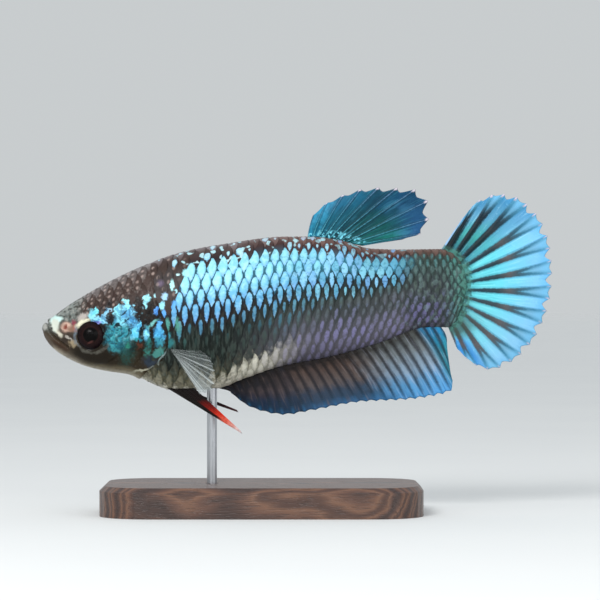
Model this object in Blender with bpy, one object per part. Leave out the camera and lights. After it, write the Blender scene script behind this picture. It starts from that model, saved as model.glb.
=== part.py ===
"""Female betta fish, a life-size still model swimming on a plain display stand.

Metres, +Z up. The fish faces -X and its left side faces -Y. The origin is the middle of the model's
footprint, on the surface that the stand's base rests on. The body hangs a little nose-down.

The body is one loft, parted into head, lower jaw, gill covers, trunk and tail stalk by thin cuts.
Every fin is a fan of rays: a plate whose margin dips between one ray tip and the next.
Tables are in millimetres and become metres where points are made.
"""

import math

import bmesh
import bpy
from mathutils import Vector

MM = 0.001

# ---------------------------------------------------------------- driving dimensions, millimetres
PART_GAP = 0.3  # the thin cut between neighbouring pieces
FIN_THICKNESS = 0.5
GILL_PLATE = 0.7  # thickness of a gill cover
EYE_RADIUS = 1.6
EYE_DEPTH = 1.25  # the eye is flatter across the head than it is tall
EYE_AT = (-20.35, 2.0, 17.8)  # x, distance from the middle plane, z
BODY_STATIONS = 42
BODY_ROUND = 26  # points round one body section, an even number
TAIL_STALK_FROM = 9.6  # where the tail stalk is parted from the trunk

ROD_RADIUS = 0.5
ROD_X = -8.5
ROD_TOP = 14.2  # the rod's end, inside the belly
BASE_THICKNESS = 3.0
BASE_X = -3.5  # middle of the base, under the weight of the fish
BASE_LENGTH = 32.0
BASE_DEPTH = 18.0
BASE_CORNER = 5.0
BASE_CHAMFER = 0.5
SOCKET_DEPTH = 1.6  # how far the rod goes into the base

# ---------------------------------------------------------------- the body's lines, (x, z) or (x, size)
BACK_LINE = (
    (-25.5, 18.5), (-25.3, 18.95), (-24.6, 19.5), (-22.7, 20.9), (-19.7, 22.7), (-15.7, 24.65),
    (-11.7, 26.1), (-7.7, 26.9), (-1.0, 27.7), (1.5, 27.7), (4.3, 27.35), (7.4, 26.5),
    (10.3, 26.4), (14.4, 26.45), (15.8, 25.9), (16.7, 24.6), (17.0, 22.9),
)
BELLY_LINE = (
    (-25.5, 18.4), (-25.2, 17.5), (-24.2, 16.3), (-22.7, 15.35), (-21.2, 14.7), (-19.2, 14.2), (-16.9, 13.85),
    (-14.7, 12.9), (-12.2, 12.2), (-8.0, 12.4), (-5.2, 13.4), (-1.5, 14.6), (3.5, 15.6),
    (7.8, 16.8), (13.3, 18.5), (15.2, 18.5), (16.4, 19.9), (17.0, 22.6),
)
HALF_WIDTH = (
    (-25.5, 0.15), (-25.2, 0.95), (-24.0, 1.75), (-21.0, 2.65), (-17.0, 3.2), (-10.0, 3.55),
    (-3.0, 3.3), (5.0, 2.5), (11.0, 1.7), (14.5, 1.15), (16.0, 0.65), (17.0, 0.25),
)
WIDEST_AT = ((-25.5, 0.5), (-20.0, 0.42), (-14.0, 0.45), (-2.0, 0.52), (17.0, 0.5))  # share of the height
BACK_SHAPE = ((-25.5, 0.85), (-20.0, 0.8), (-12.0, 0.95), (0.0, 1.1), (17.0, 1.0))  # under 1 is full
BELLY_SHAPE = ((-25.5, 0.85), (-16.0, 0.85), (-9.0, 0.85), (-2.0, 1.35), (12.0, 1.35), (17.0, 1.0))

MOUTH_LINE = ((-26.4, 20.3), (-24.95, 19.1), (-24.2, 17.85), (-22.5, 16.2), (-20.6, 13.6))
GILL_MARGIN = (
    (-15.6, 29.0), (-14.5, 24.8), (-13.9, 21.4), (-13.1, 19.4), (-12.7, 17.5), (-13.2, 15.5), (-14.8, 14.2),
    (-16.4, 12.4), (-17.0, 10.5),
)
GILL_FRONT = ((-13.6, 20.9), (-15.6, 20.3), (-16.9, 18.9), (-17.1, 17.0), (-16.5, 15.2), (-16.4, 12.4))

# ---------------------------------------------------------------- the fins: base line and ray tips, (x, z)
TAIL_BASE = ((14.75, 26.85), (16.2, 26.05), (17.15, 24.5), (17.35, 22.7), (17.15, 20.9), (16.5, 19.3), (15.3, 18.1))
TAIL_MARGIN = (
    (16.6, 29.55), (18.2, 31.3), (20.4, 31.95), (22.6, 31.3), (24.7, 28.7), (25.47, 25.0), (25.2, 21.0),
    (23.7, 17.3), (21.2, 14.9), (18.8, 14.35), (16.9, 15.5), (16.0, 16.4),
)
TAIL_FORKED_RAYS = 12  # each ends in two tips, and one plain ray runs along either edge
DORSAL_FROM, DORSAL_TO = 1.1, 7.2
DORSAL_MARGIN = (
    (1.6, 29.8), (3.2, 31.2), (6.5, 32.45), (9.5, 32.55), (12.4, 32.2), (13.25, 30.6), (12.8, 28.2), (10.6, 27.35),
)
DORSAL_RAYS = 11
ANAL_FROM, ANAL_TO = -7.1, 14.7
ANAL_MARGIN = (
    (-6.6, 12.0), (-4.6, 10.55), (-1.5, 9.8), (1.6, 10.25), (6.0, 11.05), (11.0, 11.3), (14.2, 11.8), (15.6, 12.5),
)
ANAL_RAYS = 26

PECTORAL_BASE = ((-12.35, 16.5), (-12.05, 15.75))
PECTORAL_MARGIN = ((-9.4, 16.4), (-8.35, 15.5), (-8.0, 14.0), (-8.3, 12.4), (-9.5, 11.9))
PECTORAL_RAYS = 10
PECTORAL_OUT = (3.65, 5.1)  # distance from the middle plane, at the root and at the margin

PELVIC_ROOT = ((-12.8, 11.85), (-10.2, 11.95))
PELVIC_SPREAD = (0.95, 1.75)  # distance from the middle plane, at the root and at the tip
PELVIC_LEFT_TIP = ((-5.45, 8.0), (-5.6, 8.3))
PELVIC_RIGHT_TIP = ((-5.9, 10.0), (-6.05, 10.25))
PELVIC_RAYS = 6

COLOURS = {  # base colour, roughness, metallic
    "back": ((0.09, 0.05, 0.045), 0.4, 0.0),
    "flank": ((0.10, 0.55, 0.62), 0.35, 0.3),
    "gill_cover": ((0.06, 0.42, 0.50), 0.3, 0.3),
    "jaw": ((0.10, 0.08, 0.06), 0.4, 0.0),
    "fin": ((0.05, 0.35, 0.60), 0.4, 0.1),
    "anal": ((0.05, 0.10, 0.25), 0.4, 0.1),
    "pelvic": ((0.35, 0.03, 0.02), 0.4, 0.0),
    "clear_fin": ((0.60, 0.64, 0.64), 0.3, 0.0),
    "eye": ((0.02, 0.012, 0.010), 0.05, 0.0),
    "walnut": ((0.10, 0.05, 0.03), 0.45, 0.0),
    "steel": ((0.60, 0.60, 0.62), 0.25, 1.0),
}


# ---------------------------------------------------------------- curves
def slopes(knots):
    """Slopes at the knots of a curve that never swings past them."""
    rises = [(b[1] - a[1]) / (b[0] - a[0]) for a, b in zip(knots, knots[1:])]
    inner = [0.0 if a * b <= 0 else 2 * a * b / (a + b) for a, b in zip(rises, rises[1:])]
    return [rises[0], *inner, rises[-1]]


def profile(knots):
    """A smooth function of x through the knots."""
    steep = slopes(knots)

    def at(x):
        x = min(max(x, knots[0][0]), knots[-1][0])
        i = max(k for k in range(len(knots) - 1) if knots[k][0] <= x)
        (x0, y0), (x1, y1) = knots[i], knots[i + 1]
        h = x1 - x0
        t = (x - x0) / h
        return (
            (1 + 2 * t) * (1 - t) ** 2 * y0
            + t * (1 - t) ** 2 * h * steep[i]
            + t * t * (3 - 2 * t) * y1
            + t * t * (t - 1) * h * steep[i + 1]
        )

    return at


def smooth_path(points, per_span=8):
    """A Catmull-Rom curve through 2-D points, as a list of points."""
    ends = [Vector(p) for p in points]
    ends = [2 * ends[0] - ends[1], *ends, 2 * ends[-1] - ends[-2]]
    path = []
    for p0, p1, p2, p3 in zip(ends, ends[1:], ends[2:], ends[3:]):
        for k in range(per_span):
            t = k / per_span
            path.append(
                0.5 * (2 * p1 + (p2 - p0) * t + (2 * p0 - 5 * p1 + 4 * p2 - p3) * t * t
                       + (3 * p1 - p0 - 3 * p2 + p3) * t ** 3)
            )
    return [*path, ends[-2]]


def along(path, share):
    """The point at this share of a path's length."""
    lengths = [0.0]
    for a, b in zip(path, path[1:]):
        lengths.append(lengths[-1] + (b - a).length)
    wanted = min(max(share, 0.0), 1.0) * lengths[-1]
    for (a, b), (low, high) in zip(zip(path, path[1:]), zip(lengths, lengths[1:])):
        if wanted <= high:
            return a.lerp(b, (wanted - low) / max(high - low, 1e-9))
    return path[-1]


def shifted(path, distance):
    """The path moved sideways, to the left of its direction, in the x-z plane."""
    moved = []
    for i, point in enumerate(path):
        way = path[min(i + 1, len(path) - 1)] - path[max(i - 1, 0)]
        moved.append(point + Vector((-way.y, way.x)).normalized() * distance)
    return moved


back_at = profile(BACK_LINE)
belly_at = profile(BELLY_LINE)
half_width_at = profile(HALF_WIDTH)
widest_at = profile(WIDEST_AT)
back_shape_at = profile(BACK_SHAPE)
belly_shape_at = profile(BELLY_SHAPE)


def section_point(x, turn, inset=0.0):
    """A point of the body's skin: turn 0 is the back, 0.5 the belly, and up to 0.5 lies on the left side."""
    top, bottom = back_at(x) - inset, belly_at(x) + inset
    if top - bottom < 0.02:
        top = bottom = (top + bottom) / 2
    width = max(half_width_at(x) - inset, 0.01)
    middle = bottom + (top - bottom) * widest_at(x)
    angle = 2 * math.pi * turn
    upper = math.cos(angle) > 0
    shape = back_shape_at(x) if upper else belly_shape_at(x)
    out = width * abs(math.sin(angle)) ** shape
    rise = (top - middle if upper else middle - bottom) * math.cos(angle)
    return Vector((x, -math.copysign(out, math.sin(angle)), middle + rise)) * MM


# ---------------------------------------------------------------- making objects
def material(name):
    made = bpy.data.materials.get(name)
    if made is None:
        colour, roughness, metallic = COLOURS[name]
        made = bpy.data.materials.new(name)
        made.use_nodes = True
        shader = made.node_tree.nodes["Principled BSDF"]
        shader.inputs["Base Color"].default_value = (*colour, 1)
        shader.inputs["Roughness"].default_value = roughness
        shader.inputs["Metallic"].default_value = metallic
        made.diffuse_color = (*colour, 1)
    return made


def new_object(name, points, faces, colour=None):
    mesh = bpy.data.meshes.new(name)
    mesh.from_pydata([tuple(p) for p in points], [], faces)
    bm = bmesh.new()
    bm.from_mesh(mesh)
    bmesh.ops.recalc_face_normals(bm, faces=bm.faces)
    bm.to_mesh(mesh)
    bm.free()
    made = bpy.data.objects.new(name, mesh)
    bpy.context.scene.collection.objects.link(made)
    if colour is None:  # a cutter
        made.hide_render = True
        made.display_type = "WIRE"
    else:
        mesh.materials.append(material(colour))
        mesh.shade_smooth()
        mesh.set_sharp_from_angle(angle=math.radians(40))
    return made


def boolean(target, cutter, operation):
    cut = target.modifiers.new(operation.lower() + "_" + cutter.name, "BOOLEAN")
    cut.operation = operation
    cut.object = cutter
    return target


def tube_faces(rings, round_count):
    """Quads between rings, with a fan at the first and last point."""
    faces = []
    for r in range(rings - 1):
        for k in range(round_count):
            n = (k + 1) % round_count
            low, high = 1 + r * round_count, 1 + (r + 1) * round_count
            faces.append((low + k, low + n, high + n, high + k))
    last_ring, last = 1 + (rings - 1) * round_count, 1 + rings * round_count
    for k in range(round_count):
        n = (k + 1) % round_count
        faces.append((0, 1 + n, 1 + k))
        faces.append((last_ring + k, last_ring + n, last))
    return faces


def body_loft(name, inset=0.0, colour=None):
    """The whole body without fins, or a core that lies inset below its skin."""
    first, last = BACK_LINE[0][0] + inset, BACK_LINE[-1][0] - inset
    stations = [
        first + (last - first) * (0.5 - 0.5 * math.cos(math.pi * (k + 0.5) / BODY_STATIONS)) ** 0.92
        for k in range(BODY_STATIONS)
    ]
    points = [Vector((first, 0, (back_at(first) + belly_at(first)) / 2)) * MM]
    for x in stations:
        points += [section_point(x, k / BODY_ROUND, inset) for k in range(BODY_ROUND)]
    points.append(Vector((last, 0, (back_at(last) + belly_at(last)) / 2)) * MM)
    return new_object(name, points, tube_faces(BODY_STATIONS, BODY_ROUND), colour)


def prism(name, outline, near=-12.0, far=12.0):
    """A cutter: an outline in the x-z plane, carried from y near to y far."""
    count = len(outline)
    points = [Vector((p[0], y, p[1])) * MM for y in (near, far) for p in outline]
    faces = [tuple(range(count)), tuple(range(2 * count - 1, count - 1, -1))]
    faces += [(k, (k + 1) % count, count + (k + 1) % count, count + k) for k in range(count)]
    return new_object(name, points, faces)


def eyeball(name, centre, grown=0.0, colour=None, rings=10, segments=18):
    """A flattened ball whose poles point along Y."""
    radii = Vector((EYE_RADIUS + grown, EYE_DEPTH + grown, EYE_RADIUS + grown))
    points = [(Vector(centre) - Vector((0, radii.y, 0))) * MM]
    for r in range(1, rings):
        tilt = math.pi * r / rings
        for k in range(segments):
            turn = 2 * math.pi * k / segments
            way = Vector((math.sin(tilt) * math.cos(turn), -math.cos(tilt), math.sin(tilt) * math.sin(turn)))
            points.append((Vector(centre) + way * radii) * MM)
    points.append((Vector(centre) + Vector((0, radii.y, 0))) * MM)
    return new_object(name, points, tube_faces(rings - 1, segments), colour)


def rod(name, x, low, high, radius, colour=None, sides=20):
    points = [Vector((x, 0, low)) * MM]
    for z in (low, high):
        for k in range(sides):
            turn = 2 * math.pi * k / sides
            points.append(Vector((x + radius * math.cos(turn), radius * math.sin(turn), z)) * MM)
    points.append(Vector((x, 0, high)) * MM)
    return new_object(name, points, tube_faces(2, sides), colour)


# ---------------------------------------------------------------- body pieces
def make_body():
    """Head, lower jaw, gill covers, trunk and tail stalk, all cut from the one loft."""
    margin = smooth_path(GILL_MARGIN, 6)
    mouth = smooth_path(MOUTH_LINE, 5)
    before_gill = shifted(margin, -PART_GAP / 2)
    behind_gill = shifted(margin, PART_GAP / 2)
    above_mouth = shifted(mouth, PART_GAP / 2)
    below_mouth = shifted(mouth, -PART_GAP / 2)

    head_region = prism("head_region", [*before_gill, *reversed(above_mouth), Vector((-26.4, 29.0))])
    jaw_region = prism("jaw_region", [*below_mouth, Vector((-27.5, 13.0))])
    stalk_x = TAIL_STALK_FROM
    trunk_region = prism(
        "trunk_region", [*behind_gill, Vector((stalk_x, 10.5)), Vector((stalk_x, 29.0))])
    stalk_region = prism(
        "stalk_region",
        [(stalk_x + PART_GAP, 10.5), (18.0, 10.5), (18.0, 29.0), (stalk_x + PART_GAP, 29.0)])

    gill_front = smooth_path(GILL_FRONT, 6)
    rear_side = [Vector((-11.0, 12.4)), Vector((-11.0, 20.9))]
    pocket_front = shifted(gill_front, -PART_GAP)
    core = body_loft("gill_core", GILL_PLATE)
    pocket_core = body_loft("gill_pocket_core", GILL_PLATE + PART_GAP)

    head = boolean(body_loft("head", colour="back"), head_region, "INTERSECT")
    for side, name in ((-1, "left"), (1, "right")):
        near, far = sorted((side * 0.6, side * 9.0))
        plate_region = prism(f"gill_region_{name}", [*gill_front, *rear_side], near, far)
        pocket = prism(f"gill_pocket_{name}", [*pocket_front, *rear_side], near, far)
        boolean(pocket, pocket_core, "DIFFERENCE")
        boolean(head, pocket, "DIFFERENCE")
        plate = body_loft(f"gill_cover_{name}", colour="gill_cover")
        boolean(plate, head_region, "INTERSECT")
        boolean(plate, plate_region, "INTERSECT")
        boolean(plate, core, "DIFFERENCE")

        centre = (EYE_AT[0], side * EYE_AT[1], EYE_AT[2])
        eyeball(f"eye_{name}", centre, colour="eye")
        boolean(head, eyeball(f"eye_socket_{name}", centre, PART_GAP / 2), "DIFFERENCE")

    boolean(body_loft("lower_jaw", colour="jaw"), jaw_region, "INTERSECT")
    trunk = boolean(body_loft("trunk", colour="flank"), trunk_region, "INTERSECT")
    boolean(body_loft("tail_stalk", colour="flank"), stalk_region, "INTERSECT")
    socket = rod("rod_hole", ROD_X, 5.0, ROD_TOP + PART_GAP, ROD_RADIUS + PART_GAP)
    boolean(trunk, socket, "DIFFERENCE")


# ---------------------------------------------------------------- fins
def fan_fin(name, base, margin, tips, colour, notches=(0.06,), lengthwise=4, between=2, sweep=0.0,
            lean=0.0, out=None):
    """A fin plate. Rays run from the base path to the margin path, and the margin dips between ray tips.

    notches are the depths of the dips, taken in turn. sweep bows the rays towards +X, and lean carries
    their tips along the margin. out(u, v) gives the distance from the middle plane, with u across the
    rays and v from root to margin, both 0 to 1.
    """
    columns = (tips - 1) * between + 1
    sheets = ([], [])
    for c in range(columns):
        u = c / (columns - 1)
        phase = (c % between) / between
        dip = notches[c // between % len(notches)] * (1 - abs(1 - 2 * phase) ** 1.5)
        root, tip = along(base, u), along(margin, u + lean * (1 - (2 * u - 1) ** 4))
        for r in range(lengthwise + 1):
            v = r / lengthwise * (1 - dip)
            spot = root.lerp(tip, v)
            spot.x += sweep * 4 * v * (1 - v)
            y = out(u, v) if out else 0.0
            for sheet, side in zip(sheets, (-1, 1)):
                sheet.append(Vector((spot.x, y + side * FIN_THICKNESS / 2, spot.y)) * MM)
    rows, far = lengthwise + 1, len(sheets[0])
    at = lambda c, r: c * rows + r
    faces = []
    for c in range(columns - 1):
        for r in range(rows - 1):
            quad = (at(c, r), at(c + 1, r), at(c + 1, r + 1), at(c, r + 1))
            faces += [quad, tuple(far + k for k in reversed(quad))]
    edge = [at(c, 0) for c in range(columns)] + [at(columns - 1, r) for r in range(1, rows)]
    edge += [at(c, rows - 1) for c in reversed(range(columns - 1))] + [at(0, r) for r in range(rows - 2, 0, -1)]
    faces += [(a, b, far + b, far + a) for a, b in zip(edge, [*edge[1:], edge[0]])]
    return new_object(name, [*sheets[0], *sheets[1]], faces, colour)


def wave(height, turns, lag=0.0):
    """A gentle wave across the rays that grows from root to margin."""
    return lambda u, v: height * v * v * math.sin(2 * math.pi * (turns * u + lag))


def body_edge(line, low, high, shift, count=16):
    """The body's back or belly line from x low to x high, moved up or down, as a fin's base."""
    spots = [low + (high - low) * k / count for k in range(count + 1)]
    return [Vector((x, line(x) + shift)) for x in spots]


def make_fins():
    fan_fin("tail_fin", smooth_path(TAIL_BASE), smooth_path(TAIL_MARGIN), 2 * TAIL_FORKED_RAYS + 2, "fin",
            notches=(0.08, 0.035), out=wave(0.45, 1.5, 0.1))
    fan_fin("dorsal_fin", body_edge(back_at, DORSAL_FROM, DORSAL_TO, PART_GAP), smooth_path(DORSAL_MARGIN),
            DORSAL_RAYS, "fin", notches=(0.09,), between=4, sweep=-0.25, out=wave(0.35, 1.0, 0.2))
    fan_fin("anal_fin", body_edge(belly_at, ANAL_FROM, ANAL_TO, -PART_GAP), smooth_path(ANAL_MARGIN),
            ANAL_RAYS, "anal", notches=(0.035,), sweep=0.15, lean=0.085, out=wave(0.4, 2.0))

    root, rim = PECTORAL_OUT
    narrow, wide = PELVIC_SPREAD
    for side, name, tip in ((-1, "left", PELVIC_LEFT_TIP), (1, "right", PELVIC_RIGHT_TIP)):
        cupped = lambda u, v, s=side: s * (root + (rim - root) * v - 0.5 * v * v * math.sin(math.pi * u))
        fan_fin(f"pectoral_fin_{name}", smooth_path(PECTORAL_BASE, 2), smooth_path(PECTORAL_MARGIN),
                PECTORAL_RAYS, "clear_fin", notches=(0.05,), out=cupped)
        splayed = lambda u, v, s=side: s * (narrow + (wide - narrow) * v)
        fan_fin(f"pelvic_fin_{name}", smooth_path(PELVIC_ROOT, 2), smooth_path(tip, 2), PELVIC_RAYS,
                "pelvic", notches=(0.0,), lengthwise=7, between=1, out=splayed)


# ---------------------------------------------------------------- display stand
def rounded_slab(name, centre_x, length, depth, corner, low, high, colour):
    """A slab with round corners and a chamfered top edge. Its underside is flat."""
    outline = []
    for k, (sx, sy) in enumerate(((1, 1), (-1, 1), (-1, -1), (1, -1))):
        middle = Vector((centre_x + sx * (length / 2 - corner), sy * (depth / 2 - corner)))
        for step in range(7):
            turn = math.pi / 2 * (k + step / 6)
            outline.append((middle, Vector((math.cos(turn), math.sin(turn)))))
    points = [Vector((centre_x, 0, low)) * MM]
    for inset, z in ((0.0, low), (0.0, high - BASE_CHAMFER), (BASE_CHAMFER, high)):
        for middle, way in outline:
            spot = middle + way * (corner - inset)
            points.append(Vector((spot.x, spot.y, z)) * MM)
    points.append(Vector((centre_x, 0, high)) * MM)
    return new_object(name, points, tube_faces(3, len(outline)), colour)


def make_stand():
    base = rounded_slab("stand_base", BASE_X, BASE_LENGTH, BASE_DEPTH, BASE_CORNER, 0.0, BASE_THICKNESS, "walnut")
    foot = BASE_THICKNESS - SOCKET_DEPTH
    boolean(base, rod("base_hole", ROD_X, foot, BASE_THICKNESS + 2, ROD_RADIUS + PART_GAP / 2), "DIFFERENCE")
    rod("stand_rod", ROD_X, foot + PART_GAP, ROD_TOP, ROD_RADIUS, "steel")


def main():
    for old in list(bpy.data.objects):
        bpy.data.objects.remove(old)
    make_body()
    make_fins()
    make_stand()


main()
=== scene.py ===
"""Looks of the betta fish model: skin, scales, fins, eyes, walnut stand, studio and camera.

Metres, +Z up. The fish faces -X and its left side faces -Y. Tables and shader positions are in
millimetres. The body's lines are those of the solid model, so every piece lies where its solid does.
"""

import math

import bmesh
import bpy
import numpy as np
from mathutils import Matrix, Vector


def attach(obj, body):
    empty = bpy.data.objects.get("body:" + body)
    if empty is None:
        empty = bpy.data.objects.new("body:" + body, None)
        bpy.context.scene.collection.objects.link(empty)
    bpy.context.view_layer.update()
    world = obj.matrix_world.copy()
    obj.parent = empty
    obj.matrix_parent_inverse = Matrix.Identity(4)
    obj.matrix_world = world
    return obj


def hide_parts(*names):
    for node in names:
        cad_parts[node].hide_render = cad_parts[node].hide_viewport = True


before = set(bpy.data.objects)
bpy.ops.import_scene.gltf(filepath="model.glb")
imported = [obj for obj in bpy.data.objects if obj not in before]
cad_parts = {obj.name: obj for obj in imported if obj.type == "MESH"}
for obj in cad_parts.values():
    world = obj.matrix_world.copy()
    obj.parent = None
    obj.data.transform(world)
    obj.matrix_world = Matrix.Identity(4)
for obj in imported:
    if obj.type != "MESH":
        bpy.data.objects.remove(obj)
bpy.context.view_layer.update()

MM = 0.001

# ---------------------------------------------------------------- the body's lines, (x, z) or (x, size)
BACK_LINE = (
    (-25.5, 18.5), (-25.3, 18.95), (-24.6, 19.5), (-22.7, 20.9), (-19.7, 22.7), (-15.7, 24.65),
    (-11.7, 26.1), (-7.7, 26.9), (-1.0, 27.7), (1.5, 27.7), (4.3, 27.35), (7.4, 26.5),
    (10.3, 26.4), (14.4, 26.45), (15.8, 25.9), (16.7, 24.6), (17.0, 22.9),
)
BELLY_LINE = (
    (-25.5, 18.4), (-25.2, 17.5), (-24.2, 16.3), (-22.7, 15.35), (-21.2, 14.7), (-19.2, 14.2), (-16.9, 13.85),
    (-14.7, 12.9), (-12.2, 12.2), (-8.0, 12.4), (-5.2, 13.4), (-1.5, 14.6), (3.5, 15.6),
    (7.8, 16.8), (13.3, 18.5), (15.2, 18.5), (16.4, 19.9), (17.0, 22.6),
)
HALF_WIDTH = (
    (-25.5, 0.15), (-25.2, 0.95), (-24.0, 1.75), (-21.0, 2.65), (-17.0, 3.2), (-10.0, 3.55),
    (-3.0, 3.3), (5.0, 2.5), (11.0, 1.7), (14.5, 1.15), (16.0, 0.65), (17.0, 0.25),
)
WIDEST_AT = ((-25.5, 0.5), (-20.0, 0.42), (-14.0, 0.45), (-2.0, 0.52), (17.0, 0.5))
BACK_SHAPE = ((-25.5, 0.85), (-20.0, 0.8), (-12.0, 0.95), (0.0, 1.1), (17.0, 1.0))
BELLY_SHAPE = ((-25.5, 0.85), (-16.0, 0.85), (-9.0, 0.85), (-2.0, 1.35), (12.0, 1.35), (17.0, 1.0))
GILL_MARGIN = (
    (-15.6, 29.0), (-14.5, 24.8), (-13.9, 21.4), (-13.1, 19.4), (-12.7, 17.5), (-13.2, 15.5), (-14.8, 14.2),
    (-16.4, 12.4), (-17.0, 10.5),
)
MOUTH_CLEFT = ((-25.6, 20.0), (-24.95, 19.0), (-24.6, 18.2), (-24.1, 17.6), (-23.5, 17.1), (-22.8, 16.6))
UPPER_LIP = ((-24.75, 19.35), (-24.4, 18.6), (-23.9, 17.95), (-23.4, 17.5))
LOWER_LIP = ((-25.3, 18.7), (-24.85, 17.9), (-24.35, 17.3), (-23.7, 16.85))
OPERCLE_GROOVE = ((-15.5, 20.0), (-15.35, 18.8), (-15.3, 17.4), (-15.45, 16.0), (-16.0, 14.9))
CHEEK_GROOVE = ((-18.6, 20.6), (-17.5, 19.6), (-17.2, 18.0), (-17.4, 16.4), (-18.4, 15.2), (-20.2, 14.7))
HEAD_LINES = (  # each with its height and its width
    (MOUTH_CLEFT, -0.32, 0.10), (UPPER_LIP, 0.09, 0.20), (LOWER_LIP, 0.06, 0.18), (CHEEK_GROOVE, -0.06, 0.12),
    (OPERCLE_GROOVE, -0.05, 0.09),
)
NOSTRIL = (-23.1, 18.6)
EYE_AT = (-20.35, 2.0, 17.8)  # x, distance from the middle plane, z
EYE_RADIUS = 1.6
EYE_DEPTH = 1.25
EYE_HOLE_DEPTH = 0.5

COAT = 0.10  # how far the skin lies inside the solids where scales cover it
BARE_COAT = 0.025  # and where none do
GILL_STEP = 0.24  # how far the flank sinks behind the gill cover's edge
FIRST, LAST = -25.5, 17.0
STALK_TURN = 16.2  # where the tail stalk starts to round off
SKIN_ROUND = 256  # points in each ring of the skin
HEAD_RINGS, FLANK_RINGS, END_RINGS = 250, 100, 14
SHARE_OVERLAP = 0.05  # the unwrap of the body runs a little past the back line

# ---------------------------------------------------------------- scales
SCALE_ROWS = 24  # round the body
SCALE_PITCH = (
    (-22.5, 0.78), (-18.0, 0.92), (-12.0, 1.07), (-6.0, 1.06), (0.3, 0.93), (11.0, 0.86), (17.0, 0.7),
)
SCALE_PHASE_X = -11.7  # a scale of the even rows has its middle here
LAST_SCALE_X = 16.3
SCALE_ROOT = -1.4  # how far a scale reaches under the one before it, in pitches
SCALE_THICKNESS = 0.045
SCALE_SHIFT, SCALE_SIZES = 0.025, (0.97, 1.04)  # how much the scales vary in place and in length
MAP_STATIONS, MAP_ROUND = 260, 221  # the surface that they are laid on

# ---------------------------------------------------------------- fins
TAIL_BASE = (
    (14.75, 26.85), (16.2, 26.05), (17.15, 24.5), (17.35, 22.7), (17.15, 20.9), (16.5, 19.3), (15.3, 18.1),
)
TAIL_MARGIN = (
    (16.6, 29.55), (18.2, 31.3), (20.4, 31.95), (22.6, 31.3), (24.7, 28.7), (25.47, 25.0), (25.2, 21.0),
    (23.7, 17.3), (21.2, 14.9), (18.8, 14.35), (16.9, 15.5), (16.0, 16.4),
)
DORSAL_SPAN = (1.1, 7.2)
DORSAL_MARGIN = (
    (1.6, 29.8), (3.2, 31.2), (6.5, 32.45), (9.5, 32.55), (12.4, 32.2), (13.25, 30.6), (12.8, 28.2),
    (10.6, 27.35),
)
ANAL_SPAN = (-7.1, 14.7)
ANAL_MARGIN = (  # and up the fin's rear edge
    (-6.6, 12.0), (-4.6, 10.55), (-1.5, 9.8), (1.6, 10.25), (6.0, 11.05), (11.0, 11.3), (14.2, 11.8),
    (15.55, 12.45), (15.3, 14.4), (14.95, 16.8),
)
ANAL_TIPS = (  # a ray's share across the fin and its tip's share of the margin
    (0.0, 0.0), (0.34, 0.35), (0.8, 0.765), (0.88, 0.83), (0.95, 0.905), (1.0, 1.0),
)
PECTORAL_BASE = ((-12.35, 16.5), (-12.05, 15.75))
PECTORAL_MARGIN = ((-9.4, 16.4), (-8.35, 15.5), (-8.0, 14.0), (-8.3, 12.4), (-9.5, 11.9))
PECTORAL_OUT = (3.65, 5.1)
PELVIC_LEFT_ROOT = ((-12.85, 12.45), (-10.2, 12.5))
PELVIC_RIGHT_ROOT = ((-13.1, 12.45), (-11.4, 12.5))
PELVIC_OUT = (0.95, 1.75)
PELVIC_LEFT_TIP = ((-5.45, 8.0), (-5.6, 8.3))
PELVIC_RIGHT_TIP = ((-5.9, 10.0), (-6.05, 10.25))
BASE_GAP = 0.3  # from the body's line to a fin's base
FIN_TAPER, FIN_RIM = 0.18, 0.3  # widths along a fin's edge: where it thins, and where its finish turns pale

# ---------------------------------------------------------------- finishes and studio
SKIN_GRAIN, SCALE_GRAIN, WEB_GRAIN, EYE_GRAIN = 0.00003, 0.00002, 0.00002, 0.00001  # relief, in metres
PORE_DEPTH, BRUSH_DEPTH = 0.00003, 0.000004  # relief of the walnut and of the steel, in metres
DOT_SIZE = 0.15  # of the pale dots on the crown, in scale widths
ANY_DEPTH = 1e4  # makes a mark reach through the fish
CAMERA_AT, CAMERA_REACH = (0.0003, -0.300, 0.0213), (0.01, 10)  # metres
CAMERA_LENS, CAMERA_SENSOR = 180, 36
LIT_POINT = (0.0, 0.0, 0.02)  # metres
LIGHTS = (("key", (-0.10, -0.30, 0.20), 0.14, 0.95), ("fill", (0.22, -0.26, 0.10), 0.2, 0.2))  # size, watts
FAR = 6.0 / MM  # from the fish to each side of the floor
FLOOR_FADE = (5200.0, 900.0)  # where the floor is quite gone and where it starts to go
SKY_STOPS = ((0.1, (0.58, 0.607, 0.618, 1)), (0.8, (0.84, 0.88, 0.92, 1)))


# ---------------------------------------------------------------- curves, on arrays
def profile(knots):
    """A smooth function of x through the knots that never swings past them."""
    xs, ys = np.array(knots, float).T
    rise = np.diff(ys) / np.diff(xs)
    total = rise[:-1] + rise[1:]
    product = rise[:-1] * rise[1:]
    inner = np.where(product > 0, 2 * product / np.where(total == 0, 1, total), 0)
    slope = np.concatenate(([rise[0]], inner, [rise[-1]]))

    def at(x):
        x = np.clip(x, xs[0], xs[-1])
        i = np.clip(np.searchsorted(xs, x, side="right") - 1, 0, len(xs) - 2)
        h = xs[i + 1] - xs[i]
        t = (x - xs[i]) / h
        return (
            (1 + 2 * t) * (1 - t) ** 2 * ys[i]
            + t * (1 - t) ** 2 * h * slope[i]
            + t * t * (3 - 2 * t) * ys[i + 1]
            + t * t * (t - 1) * h * slope[i + 1]
        )

    return at


back_at = profile(BACK_LINE)
belly_at = profile(BELLY_LINE)
half_width_at = profile(HALF_WIDTH)
widest_at = profile(WIDEST_AT)
back_shape_at = profile(BACK_SHAPE)
belly_shape_at = profile(BELLY_SHAPE)
pitch_at = profile(SCALE_PITCH)


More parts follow.
